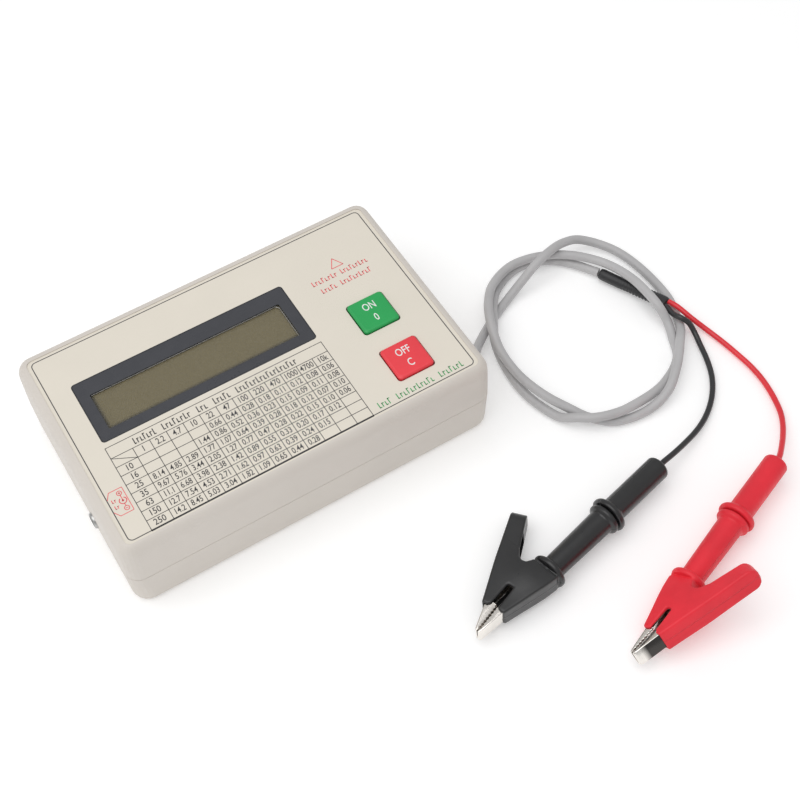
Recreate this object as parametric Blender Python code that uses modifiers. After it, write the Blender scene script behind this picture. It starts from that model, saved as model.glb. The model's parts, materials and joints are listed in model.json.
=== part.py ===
"""Bench LCR meter: a plastic case with a display and two keys, on a looped test lead with two clips.

Metres, +Z up. The origin is the centre of the case's underside, +X runs along the display
and +Y points to the back. The clips are modelled in a frame of their own (x towards the jaws,
y towards the lever, z through the thickness) and are placed by an empty each.
"""
import math

import bmesh
import bpy
from mathutils import Matrix, Vector

MM = 0.001
GAP = 0.0003

# Case: outer size, where the halves meet, and how the walls lean.
CASE_X = 0.1260
CASE_Y = 0.0813
CASE_Z = 0.0320
PARTING_Z = 0.0150
UPPER_DRAFT = math.radians(0.8)
LOWER_DRAFT = math.radians(1.3)
CORNER_R = 0.0048
CORNER_R_BOTTOM = 0.0054
TOP_ROUND_XY = 0.0033
TOP_ROUND_Z = 0.0046
BOTTOM_ROUND = 0.0022
WALL = 0.0025
LIP = 0.0011
LIP_HEIGHT = 0.0018
TOP_THICK = 0.0022
FLOOR_THICK = 0.0022
CORNER_STEPS = 5
ROUND_STEPS = 4

# Front label, display and keys. The label's face is LABEL_Z above the table.
LABEL_Z = 0.0317
LABEL_THICK = 0.0004
LABEL_X = 0.1188
LABEL_Y = 0.0743
LABEL_R = 0.0020
LABEL_C = (0.0, -0.0004)
WINDOW_X = 0.0736
WINDOW_Y = 0.0246
WINDOW_R = 0.0012
WINDOW_C = (-0.0145, 0.0097)
WINDOW_THICK = 0.0010
VIEW_X = 0.0638
VIEW_Y = 0.0141
KEY_SIZE = 0.0125
KEY_R = 0.0011
KEY_X = 0.0416
GREEN_KEY_Y = -0.0036
RED_KEY_Y = -0.02415
KEY_TOP_Z = 0.0327
KEY_TRAVEL = 0.0004
KEY_CLEAR = 0.00035
STEM_LOW_Z = 0.0262
PLUNGER_TOP_Z = STEM_LOW_Z - KEY_TRAVEL - 0.0001

# Boards and what they carry.
BOARD_THICK = 0.0016
BOARD_Z = 0.0192
BOARD_X = 0.1130
BOARD_Y = 0.0660
LCD_BOARD_Z = 0.0224
LCD_BOARD_X = 0.0800
LCD_BOARD_Y = 0.0360
BEZEL_X = 0.0712
BEZEL_Y = 0.0254
BEZEL_TOP_Z = 0.0297
GLASS_THICK = 0.0016
BOSS_R = 0.0030
BOSS_XY = (0.0530, 0.0290)
SCREW_R = 0.0012

# Low-voltage inlet on the left wall and lead outlet on the right wall.
JACK_Y = -0.0130
JACK_Z = 0.0124
JACK_NOSE_R = 0.0026
JACK_NOSE_ROUND = 0.0006
JACK_BORE_R = 0.0018
JACK_PIN_R = 0.00065
STAND_OUT = 0.0008
OUTLET_Y = -0.0220
OUTLET_Z = 0.0086

# Two AA cells lie side by side over a hinged door in the underside.
CELL_R = 0.00715
CELL_LENGTH = 0.0500
CELL_Z = 0.0101
CELL_PITCH = 0.0152
SPRING_WIRE_R = 0.0003
BAY_C = (-0.0185, 0.0150)
BAY_X = 0.0600
BAY_Y = 0.0320
DOOR_THICK = 0.0016
DOOR_Z = 0.0003

# Test lead.
CABLE_R = 0.00155
LEAD_R = 0.00095
CABLE_STEP = 0.0066
LEAD_STEP = 0.0050
CURVE_PARTS = 12

# Route of the lead's centre line in mm, from inside the case to the splitter.
CABLE_ROUTE = [
    (58, -22, 8.6), (64.5, -22, 8.5), (69.6, -19.6, 7.2), (73.2, -16, 5.0),
    (81.7, -9.2, 1.8), (88.1, -5.6, 1.65), (95.9, -2.2, 2.6), (101.6, -0.8, 5.5),
    (106.6, 0.4, 7.9), (114.2, 2.2, 9.3), (121.5, 3.9, 7.6), (128.5, 3.9, 4.6),
    (136.9, -4.1, 2.1), (140.2, -15.4, 1.65), (140.5, -31.1, 1.65), (138.2, -39, 1.75),
    (135.3, -44.9, 2.9), (131, -49.7, 5.1), (127.9, -53.3, 5.5), (122.9, -58.3, 5.3),
    (116.2, -63.1, 3.9), (107.8, -64.8, 1.9), (96, -62.7, 1.65), (89.5, -56.8, 1.7),
    (85.2, -50.9, 3.3), (80.6, -43.7, 5.4), (78.1, -32.4, 5.4), (78.3, -21.7, 6.0),
    (79.7, -15, 8.1), (81.6, -10.1, 8.8), (84.9, -4.4, 8.0), (91.2, 2.4, 6.3),
    (102, 6.6, 5.3), (112.7, 4.6, 5.3), (121.7, -0.8, 5.3), (129.2, -9.8, 5.4),
    (132.4, -20.6, 6.5), (132.7, -30, 7.3), (132.7, -35.5, 6.8), (133.3, -40.4, 3.0),
    (131.5, -45.8, 1.65), (127.6, -53.4, 1.65), (117.1, -59.3, 1.65), (102.1, -62, 4.4),
    (96.5, -61.9, 5.2), (89.7, -59.9, 5.4), (84.8, -56.3, 4.6), (81.2, -51.2, 1.75),
    (77.4, -38, 1.65), (78.2, -23.5, 1.65), (80.4, -15.3, 3.0), (83, -10.5, 5.35),
    (87.6, -3.4, 4.5), (94.4, 3.5, 1.8), (104.3, 6.9, 1.65), (113.9, 4.8, 1.65),
    (121.1, -1.2, 1.7), (126.7, -10.1, 2.2),
]
SPLITTER_ROUTE = [
    (127, -10.7, 2.2), (129.9, -16.8, 2.2), (132.7, -22.9, 2.7), (135.1, -29.4, 3.6),
    (136.9, -34.3, 4.4),
]
RED_ROUTE = [
    (138.1, -34.4, 4.5), (139.0, -38.0, 4.9), (140.9, -43.8, 3.4), (143.4, -49.5, 1.4),
    (144.9, -56, 1.05), (145.8, -62.4, 1.05), (146.4, -68.5, 1.05), (146.3, -74.1, 1.05),
    (145.5, -79.3, 1.1), (144.2, -84, 1.3), (142.4, -88.4, 1.8), (139.6, -92.5, 2.8),
    (136.0, -96.5, 4.1), (132.2, -100.0, 5.6), (128.6, -102.9, 6.8), (125.6, -104.5, 7.1),
    (122.6, -105.6, 7.0),
]
BLACK_ROUTE = [
    (136.05, -35.2, 4.5), (135.9, -39.6, 4.9), (136.6, -42.7, 5.8), (138.3, -45, 4.4),
    (138.9, -48, 1.9), (137.8, -52.8, 1.05), (136.1, -58.3, 1.05), (133.9, -63.5, 1.05),
    (131.4, -67.5, 1.05), (128.2, -71.2, 1.05), (124.5, -74.4, 1.1), (120.2, -77.2, 1.5),
    (115, -79.7, 2.4), (109, -81.8, 3.6), (102.6, -83.7, 5.0), (97.4, -84.9, 5.8),
    (93, -86.0, 6.0),
]

# Clips, in mm in their own frame. Each is pushed on to a 4 mm plug.
BARREL_PROFILE = [
    (0, -23.2), (2.6, -23.2), (3.4, -22.8), (3.85, -21.9), (3.95, -20.5), (3.95, -2.2),
    (4.5, -1.5), (5.6, -1.0), (5.95, -0.4), (5.95, 0.5), (5.5, 0.9), (0, 0.9),
]
SLEEVE_PROFILE = [
    (0, 1.3), (4.9, 1.3), (5.3, 1.7), (5.3, 2.7), (4.8, 3.2), (4.15, 3.6), (3.7, 25.6),
    (4.3, 26.1), (5.1, 26.4), (5.35, 26.9), (5.35, 28.0), (5.0, 28.5), (0, 28.5),
]
PIN_PROFILE = [(0, -7.4), (2.0, -7.4), (2.0, 15.0), (1.5, 16.4), (0.8, 17.0), (0, 17.0)]
BARREL_BORE_R = 2.35
SLEEVE_BORE_R = 3.1
SOCKET_R = 2.8
PIVOT = (36.0, 4.4)
PIVOT_R = 0.9
PIVOT_HALF = 2.95
EYE_R = PIVOT_R + 0.3
COVER_HALF = 3.6
COVER_INNER_HALF = 3.0
JAW_HALF = 2.7
JAW_WALL = 0.5
LOWER_COVER = [
    (28.0, -4.6), (33.0, -4.0), (47.6, -0.9), (47.2, 2.2), (41.2, 3.2), (36.0, 3.9),
    (31.0, 5.0), (28.0, 5.0),
]
LOWER_CAVITY = [
    (28.0, -3.4), (33.0, -3.3), (48.6, -0.2), (48.6, 3.0), (44.0, 6.0), (32.5, 6.0), (28.0, 3.4),
]
UPPER_COVER = [
    (36.0, 4.9), (41.2, 3.6), (47.8, 3.4), (49.0, 6.7), (36.0, 13.6), (22.4, 20.1), (20.1, 20.9),
    (18.4, 19.6), (18.3, 17.5), (18.9, 16.8), (30.3, 9.2),
]
UPPER_CAVITY = [
    (33.4, 3.4), (41.0, 3.0), (50.2, 2.6), (50.6, 5.3), (36.0, 12.8), (21.4, 19.7), (20.2, 16.2),
    (31.0, 7.4),
]
FIXED_JAW = [
    (28.4, -2.6), (33.0, -2.8), (48.0, 0.0), (56.4, 0.4), (56.9, 0.7), (56.9, 0.95),
    (41.0, 3.0), (39.0, 5.6), (36.0, 6.3), (33.4, 5.6), (31.5, 2.9), (28.4, 2.6),
]
FIXED_JAW_HOLLOW = [
    (27.5, -1.9), (33.0, -2.2), (48.0, 0.6), (56.0, 0.9), (56.0, 3.0), (41.0, 8.0),
    (31.0, 8.0), (27.5, 4.6),
]
MOVING_JAW = [
    (34.2, 2.9), (36.0, 2.6), (38.4, 3.2), (41.5, 3.7), (45.0, 2.8), (56.9, 1.25), (56.9, 1.8),
    (56.2, 2.3), (49.4, 5.4), (36.0, 12.0), (22.0, 18.7), (21.2, 16.7), (32.0, 10.0),
    (34.2, 6.4),
]
MOVING_JAW_HOLLOW = [
    (33.0, 0.6), (46.0, 1.0), (56.2, 0.0), (56.2, 1.6), (49.0, 4.9), (36.0, 11.3), (22.2, 17.9),
    (20.0, 15.0), (31.0, 8.8),
]
MOVING_REAR_X = 46.0
MOVING_REAR_HALF = 1.9

# Clip places: origin (mm), heading, nose lift, roll, and which side of the heading the lever is on.
BLACK_CLIP = {"origin": (72.15, -91.15, 6.0), "yaw": -166.3, "pitch": 0.0, "roll": -5.5, "side": -1}
RED_CLIP = {"origin": (104.1, -112.6, 6.5), "yaw": -159.3, "pitch": -1.5, "roll": 38.0, "side": 1}

# Colour, roughness and metallic value of each material.
MATERIALS = {
    "case_grey": ((0.62, 0.58, 0.52), 0.45, 0.0),
    "label_print": ((0.72, 0.67, 0.58), 0.40, 0.0),
    "window": ((0.07, 0.08, 0.10), 0.10, 0.0),
    "black_frame": ((0.05, 0.05, 0.06), 0.35, 0.0),
    "lcd_olive": ((0.18, 0.16, 0.12), 0.20, 0.0),
    "backlight_white": ((0.80, 0.80, 0.78), 0.50, 0.0),
    "board_green": ((0.03, 0.20, 0.07), 0.45, 0.0),
    "key_green": ((0.00, 0.35, 0.07), 0.35, 0.0),
    "key_red": ((0.86, 0.07, 0.09), 0.35, 0.0),
    "black_plastic": ((0.03, 0.03, 0.032), 0.40, 0.0),
    "metal_bright": ((0.70, 0.68, 0.64), 0.25, 1.0),
    "steel": ((0.50, 0.50, 0.50), 0.35, 1.0),
    "coil_copper": ((0.60, 0.27, 0.12), 0.35, 1.0),
    "cell_blue": ((0.05, 0.12, 0.35), 0.30, 0.0),
    "cable_grey": ((0.38, 0.37, 0.38), 0.50, 0.0),
    "sleeve_black": ((0.03, 0.03, 0.03), 0.55, 0.0),
    "lead_black": ((0.03, 0.03, 0.03), 0.40, 0.0),
    "lead_red": ((0.70, 0.04, 0.05), 0.40, 0.0),
    "clip_black": ((0.03, 0.03, 0.033), 0.40, 0.0),
    "clip_red": ((0.78, 0.05, 0.07), 0.40, 0.0),
}


# ---------------------------------------------------------------- scene and materials

def clear_scene():
    for item in list(bpy.data.objects):
        bpy.data.objects.remove(item, do_unlink=True)
    for group in list(bpy.data.collections):
        bpy.data.collections.remove(group)


def new_collection(name):
    group = bpy.data.collections.new(name)
    bpy.context.scene.collection.children.link(group)
    return group


clear_scene()
PARTS = new_collection("lcr_meter")
CUTTERS = new_collection("cutters")


def material(name):
    found = bpy.data.materials.get(name)
    if found:
        return found
    colour, roughness, metallic = MATERIALS[name]
    made = bpy.data.materials.new(name)
    made.use_nodes = True
    shader = made.node_tree.nodes["Principled BSDF"]
    shader.inputs["Base Color"].default_value = (*colour, 1.0)
    shader.inputs["Roughness"].default_value = roughness
    shader.inputs["Metallic"].default_value = metallic
    made.diffuse_color = (*colour, 1.0)
    return made


# ---------------------------------------------------------------- shape helpers

def add_object(name, data, finish, sharp=35):
    """Link a mesh or curve. A finish of None makes a cutter."""
    made = bpy.data.objects.new(name, data)
    if finish is None:
        CUTTERS.objects.link(made)
        made.hide_render = True
        made.display_type = "WIRE"
        return made
    PARTS.objects.link(made)
    made.data.materials.append(material(finish))
    if sharp and made.type == "MESH":
        made.data.shade_smooth()
        made.data.set_sharp_from_angle(angle=math.radians(sharp))
    return made


def mesh_object(name, bm, finish, sharp=35):
    bmesh.ops.recalc_face_normals(bm, faces=bm.faces)
    mesh = bpy.data.meshes.new(name)
    bm.to_mesh(mesh)
    bm.free()
    return add_object(name, mesh, finish, sharp)


def box(name, low, high, finish, corner=0.0, steps=3):
    """A block between two corners, its upright edges rounded by corner."""
    low = Vector(low)
    high = Vector(high)
    bm = bmesh.new()
    bmesh.ops.create_cube(bm, size=1.0)
    bmesh.ops.scale(bm, vec=high - low, verts=bm.verts)
    bmesh.ops.translate(bm, vec=(low + high) / 2, verts=bm.verts)
    if corner:
        upright = [e for e in bm.edges if abs(e.verts[0].co.z - e.verts[1].co.z) > 1e-6]
        bmesh.ops.bevel(bm, geom=upright, offset=corner, segments=steps, affect="EDGES", profile=0.5)
    return mesh_object(name, bm, finish)


def cylinder(name, radius, start, end, finish, sides=24):
    """A round bar between two points."""
    start = Vector(start)
    end = Vector(end)
    bm = bmesh.new()
    bmesh.ops.create_cone(
        bm, cap_ends=True, segments=sides, radius1=radius, radius2=radius, depth=(end - start).length)
    turn = (end - start).to_track_quat("Z", "Y").to_matrix()
    bmesh.ops.rotate(bm, matrix=turn, verts=bm.verts, cent=(0, 0, 0))
    bmesh.ops.translate(bm, vec=(start + end) / 2, verts=bm.verts)
    return mesh_object(name, bm, finish)


def slab(name, outline, half, finish, low=None):
    """An outline in mm extruded through the clip's thickness, from -half (or low) to half."""
    bottom = -half if low is None else low
    bm = bmesh.new()
    face = bm.faces.new([bm.verts.new((x * MM, y * MM, bottom * MM)) for x, y in outline])
    grown = bmesh.ops.extrude_face_region(bm, geom=[face])
    top = [v for v in grown["geom"] if isinstance(v, bmesh.types.BMVert)]
    bmesh.ops.translate(bm, vec=(0, 0, (half - bottom) * MM), verts=top)
    return mesh_object(name, bm, finish)


def turned(name, profile, finish, steps=20):
    """A solid turned about the X axis from (radius, x) points in mm."""
    bm = bmesh.new()
    points = [bm.verts.new((radius * MM, 0, -x * MM)) for radius, x in profile]
    for first, second in zip(points, points[1:]):
        bm.edges.new((first, second))
    mesh = bpy.data.meshes.new(name)
    bm.to_mesh(mesh)
    bm.free()
    made = bpy.data.objects.new(name, mesh)
    bpy.context.scene.collection.objects.link(made)
    screw = made.modifiers.new("turn", "SCREW")
    screw.axis = "Z"
    screw.steps = steps
    screw.render_steps = steps
    screw.use_merge_vertices = True
    screw.merge_threshold = 0.00001
    return turned_mesh(made, finish)


def turned_mesh(source, finish):
    """Apply a turned profile's modifier and lay its axis along +X."""
    bpy.context.view_layer.update()
    graph = bpy.context.evaluated_depsgraph_get()
    mesh = bpy.data.meshes.new_from_object(source.evaluated_get(graph))
    name = source.name
    bpy.data.objects.remove(source, do_unlink=True)
    bm = bmesh.new()
    bm.from_mesh(mesh)
    bmesh.ops.remove_doubles(bm, verts=bm.verts, dist=0.00001)
    bmesh.ops.rotate(bm, matrix=Matrix.Rotation(math.radians(-90), 3, "Y"), verts=bm.verts, cent=(0, 0, 0))
    return mesh_object(name, bm, finish)


def rounded_ring(half_x, half_y, radius, z, centre=(0.0, 0.0)):
    """Points of a rounded rectangle, anticlockwise seen from above."""
    points = []
    corners = [(1, 1, 0), (-1, 1, 90), (-1, -1, 180), (1, -1, 270)]
    for sign_x, sign_y, start in corners:
        middle_x = centre[0] + sign_x * (half_x - radius)
        middle_y = centre[1] + sign_y * (half_y - radius)
        for step in range(CORNER_STEPS + 1):
            angle = math.radians(start + 90 * step / CORNER_STEPS)
            x = middle_x + radius * math.cos(angle)
            y = middle_y + radius * math.sin(angle)
            points.append((x, y, z))
    return points


def loft(name, rings, finish, sharp=35):
    """Join rings of equal point count in order and close both ends."""
    bm = bmesh.new()
    rows = [[bm.verts.new(point) for point in ring] for ring in rings]
    count = len(rows[0])
    for lower, upper in zip(rows, rows[1:]):
        for k in range(count):
            nxt = (k + 1) % count
            bm.faces.new((lower[k], lower[nxt], upper[nxt], upper[k]))
    bm.faces.new(reversed(rows[0]))
    bm.faces.new(rows[-1])
    return mesh_object(name, bm, finish, sharp)


def cut(target, cutter):
    step = target.modifiers.new("cut", "BOOLEAN")
    step.operation = "DIFFERENCE"
    step.solver = "EXACT"
    step.object = cutter


def join(target, addition):
    """Add a shape, kept among the cutters, to a part."""
    step = target.modifiers.new("join", "BOOLEAN")
    step.operation = "UNION"
    step.solver = "EXACT"
    step.object = addition


def smooth_line(points, step):
    """Even points along a centripetal Catmull-Rom curve through the given points."""
    knots = [Vector(p) for p in points]
    knots = [2 * knots[0] - knots[1]] + knots + [2 * knots[-1] - knots[-2]]
    times = [0.0]
    for first, second in zip(knots, knots[1:]):
        times.append(times[-1] + math.sqrt((second - first).length))
    dense = []
    for i in range(1, len(knots) - 2):
        for part in range(CURVE_PARTS):
            dense.append(catmull(knots[i - 1:i + 3], times[i - 1:i + 3], part / CURVE_PARTS))
    dense.append(knots[-2])
    return even_points(dense, step)


def catmull(p, t, share):
    """The point a share of the way from p[1] to p[2], with knot times t."""
    u = t[1] + (t[2] - t[1]) * share
    a = [p[k].lerp(p[k + 1], (u - t[k]) / (t[k + 1] - t[k])) for k in range(3)]
    b = [a[k].lerp(a[k + 1], (u - t[k]) / (t[k + 2] - t[k])) for k in range(2)]
    return b[0].lerp(b[1], (u - t[1]) / (t[2] - t[1]))


def even_points(dense, step):
    total = sum((b - a).length for a, b in zip(dense, dense[1:]))
    count = max(2, round(total / step))
    pitch = total / count
    even = [dense[0]]
    run = 0.0
    for first, second in zip(dense, dense[1:]):
        length = (second - first).length
        while len(even) < count and run + length >= pitch * len(even):
            even.append(first.lerp(second, (pitch * len(even) - run) / length))
        run += length
    return even + [dense[-1]]


def tube(name, points, radius, finish, step=None, resolution=2):
    """A wire or cable: a curve object with a round bevel and filled ends."""
    line = smooth_line(points, step) if step else [Vector(p) for p in points]
    curve = bpy.data.curves.new(name, "CURVE")
    curve.dimensions = "3D"
    curve.bevel_depth = radius
    curve.bevel_resolution = resolution
    curve.use_fill_caps = True
    spline = curve.splines.new("POLY")
    spline.points.add(len(line) - 1)
    for target, source in zip(spline.points, line):
        target.co = (*source, 1.0)
    return add_object(name, curve, finish)


def metres(route):
    return [Vector(point) * MM for point in route]


# ---------------------------------------------------------------- case

def wall_offset(z):
    """How far the outer wall has leaned in from the parting line at a height."""
    if z >= PARTING_Z:
        return (z - PARTING_Z) * math.tan(UPPER_DRAFT)
    return (PARTING_Z - z) * math.tan(LOWER_DRAFT)


def case_ring(z, inset=0.0, radius=CORNER_R):
    lean = wall_offset(z) + inset
    return rounded_ring(CASE_X / 2 - lean, CASE_Y / 2 - lean, max(radius - inset, 0.0006), z)


def boss(name, x, y, low, high, radius=BOSS_R):
    return cylinder(name, radius, (x, y, low), (x, y, high), None, 12)


def corner_places(x, y):
    return [(x, y), (-x, y), (-x, -y), (x, -y)]


def jack_hole(half):
    """The inlet's round hole, which the parting line runs through."""
    start = (-CASE_X / 2 - 0.002, JACK_Y, JACK_Z)
    end = (-CASE_X / 2 + WALL + 0.002, JACK_Y, JACK_Z)
    return cylinder(f"cut_jack_hole_{half}", JACK_NOSE_R + GAP, start, end, None)


def upper_case():
    rings = [case_ring(PARTING_Z + GAP / 2)]
    shoulder = CASE_Z - TOP_ROUND_Z
    for step in range(ROUND_STEPS * 2 + 1):
        angle = math.radians(90 * step / (ROUND_STEPS * 2))
        inset = TOP_ROUND_XY * (1 - math.cos(angle)) * 0.92
        rings.append(case_ring(shoulder + TOP_ROUND_Z * math.sin(angle), inset))
    shell = loft("upper_case", rings, "case_grey")
    ceiling = LABEL_Z - LABEL_THICK - GAP - TOP_THICK
    low = PARTING_Z - 0.001
    step_z = PARTING_Z + GAP / 2 + LIP_HEIGHT + GAP
    inner = [case_ring(low, LIP), case_ring(step_z, LIP), case_ring(step_z, WALL)]
    inner.append(case_ring(ceiling - 0.0015, WALL))
    inner.append(case_ring(ceiling, WALL + 0.0015))
    cut(shell, loft("cut_upper_cavity", inner, None))
    half = (LABEL_X / 2 + GAP, LABEL_Y / 2 + GAP)
    recess_low = LABEL_Z - LABEL_THICK - GAP
    recess = [rounded_ring(*half, LABEL_R, z, LABEL_C) for z in (recess_low, CASE_Z + 0.001)]
    cut(shell, loft("cut_label_recess", recess, None))
    window = (WINDOW_X / 2 - 0.0012, WINDOW_Y / 2 - 0.0004)
    opening = [rounded_ring(*window, 0.0008, z, WINDOW_C) for z in (ceiling - 0.002, CASE_Z)]
    cut(shell, loft("cut_window_opening", opening, None))
    for label, y in (("green", GREEN_KEY_Y), ("red", RED_KEY_Y)):
        half_key = KEY_SIZE / 2 + KEY_CLEAR
        hole = [rounded_ring(half_key, half_key, KEY_R, z, (KEY_X, y)) for z in (ceiling - 0.002, CASE_Z)]
        cut(shell, loft(f"cut_{label}_key_hole", hole, None))
    cut(shell, jack_hole("upper"))
    for k, (x, y) in enumerate(corner_places(*BOSS_XY)):
        join(shell, boss(f"add_upper_boss_{k + 1}", x, y, BOARD_Z + BOARD_THICK + GAP, ceiling + 0.0005))
        pilot = boss(f"cut_upper_pilot_{k + 1}", x, y, BOARD_Z, ceiling - 0.001, SCREW_R + GAP)
        cut(shell, pilot)
    return shell


def lower_case():
    rings = []
    for step in range(ROUND_STEPS + 1):
        angle = math.radians(90 * step / ROUND_STEPS)
        inset = BOTTOM_ROUND * (1 - math.sin(angle))
        rings.append(case_ring(BOTTOM_ROUND * (1 - math.cos(angle)), inset, CORNER_R_BOTTOM))
    rings.append(case_ring(PARTING_Z - GAP / 2))
    rings.append(case_ring(PARTING_Z - GAP / 2, LIP + GAP))
    rings.append(case_ring(PARTING_Z + LIP_HEIGHT, LIP + GAP))
    shell = loft("lower_case", rings, "case_grey")
    inner = [case_ring(FLOOR_THICK, WALL + 0.0012), case_ring(FLOOR_THICK + 0.0012, WALL)]
    inner.append(case_ring(PARTING_Z + LIP_HEIGHT + 0.001, WALL))
    cut(shell, loft("cut_lower_cavity", inner, None))
    door_half = (BAY_X / 2 + GAP, BAY_Y / 2 + GAP)
    door = [rounded_ring(*door_half, 0.001, z, BAY_C) for z in (-0.001, FLOOR_THICK + 0.001)]
    cut(shell, loft("cut_battery_bay", door, None))
    wall_in = CASE_X / 2 - WALL - 0.002
    wall_out = CASE_X / 2 + 0.002
    cut(shell, jack_hole("lower"))
    outlet_hole = cylinder(
        "cut_outlet_hole", 0.0030, (wall_in, OUTLET_Y, OUTLET_Z), (wall_out, OUTLET_Y, OUTLET_Z), None)
    cut(shell, outlet_hole)
    for k, (x, y) in enumerate(corner_places(*BOSS_XY)):
        join(shell, boss(f"add_lower_boss_{k + 1}", x, y, FLOOR_THICK - 0.0005, BOARD_Z - GAP))
        well = boss(f"cut_screw_well_{k + 1}", x, y, -0.001, 0.0034, 0.0024)
        cut(shell, well)
        cut(shell, boss(f"cut_screw_way_{k + 1}", x, y, 0.003, BOARD_Z + 0.001, SCREW_R + GAP))
    return shell


def case_screws():
    for k, (x, y) in enumerate(corner_places(*BOSS_XY)):
        shank_top = BOARD_Z + BOARD_THICK + 0.0060
        screw = cylinder(f"case_screw_{k + 1}", SCREW_R, (x, y, 0.0030), (x, y, shank_top), "steel", 12)
        join(screw, boss(f"add_screw_head_{k + 1}", x, y, 0.0012, 0.0031, 0.0021))
        slot = 0.0003
        for turn, (dx, dy) in enumerate(((slot, 0.0013), (0.0013, slot))):
            low = (x - dx, y - dy, 0.0)
            cut(screw, box(f"cut_screw_slot_{k + 1}_{turn + 1}", low, (x + dx, y + dy, 0.0021), None))


# ---------------------------------------------------------------- front: label, window, keys

def front_label():
    low = LABEL_Z - LABEL_THICK
    half = (LABEL_X / 2, LABEL_Y / 2, LABEL_R)
    label = loft("front_label", [rounded_ring(*half, z, LABEL_C) for z in (low, LABEL_Z)], "label_print")
    window_half = (WINDOW_X / 2, WINDOW_Y / 2)
    window = [rounded_ring(*window_half, WINDOW_R, z, WINDOW_C) for z in (low - 0.001, CASE_Z)]
    cut(label, loft("cut_label_window", window, None))
    for name, y in (("green", GREEN_KEY_Y), ("red", RED_KEY_Y)):
        half_key = KEY_SIZE / 2 + KEY_CLEAR
        hole = [rounded_ring(half_key, half_key, KEY_R, z, (KEY_X, y)) for z in (low - 0.001, CASE_Z)]
        cut(label, loft(f"cut_label_{name}_key", hole, None))


def display_window():
    """A clear plate, flush with the label, with a step that drops into the case's opening."""
    edge = 0.00015
    face = (WINDOW_X / 2 - edge, WINDOW_Y / 2 - edge, WINDOW_R)
    step = (WINDOW_X / 2 - 0.0012 - GAP, WINDOW_Y / 2 - 0.0004 - GAP, 0.0008)
    seat = LABEL_Z - LABEL_THICK
    rings = [rounded_ring(*step, LABEL_Z - WINDOW_THICK, WINDOW_C), rounded_ring(*step, seat, WINDOW_C)]
    rings += [rounded_ring(*face, seat, WINDOW_C), rounded_ring(*face, LABEL_Z, WINDOW_C)]
    loft("display_window", rings, "window")


def key(name, y, finish):
    """A cap with a retaining flange and a stem that bears on the switch."""
    half = KEY_SIZE / 2
    ceiling = LABEL_Z - LABEL_THICK - GAP - TOP_THICK
    flange = half + 0.0011
    stem = 0.0020
    flange_low = ceiling - 0.0014
    flange_high = ceiling - KEY_TRAVEL
    round_xy = 0.0008
    round_z = 0.0006
    rings = [rounded_ring(stem, stem, 0.0006, z) for z in (STEM_LOW_Z, flange_low)]
    rings += [rounded_ring(flange, flange, KEY_R, z) for z in (flange_low, flange_high)]
    rings.append(rounded_ring(half, half, KEY_R, flange_high))
    for step in range(4):
        angle = math.radians(30 * step)
        inset = round_xy * (1 - math.cos(angle))
        z = KEY_TOP_Z - round_z * (1 - math.sin(angle))
        rings.append(rounded_ring(half - inset, half - inset, KEY_R, z))
    cap = loft(name, rings, finish)
    cap.location = (KEY_X, y, 0)


def key_switch(name, y):
    top = BOARD_Z + BOARD_THICK
    half = 0.0060
    body_top = 0.0243
    low = (KEY_X - half, y - half, top + GAP)
    body = box(name, low, (KEY_X + half, y + half, body_top), "black_plastic")
    plunger_low = (KEY_X, y, body_top - GAP)
    join(body, cylinder(f"add_{name}_plunger", 0.0022, plunger_low, (KEY_X, y, PLUNGER_TOP_Z), None, 12))


# ---------------------------------------------------------------- display module

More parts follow.
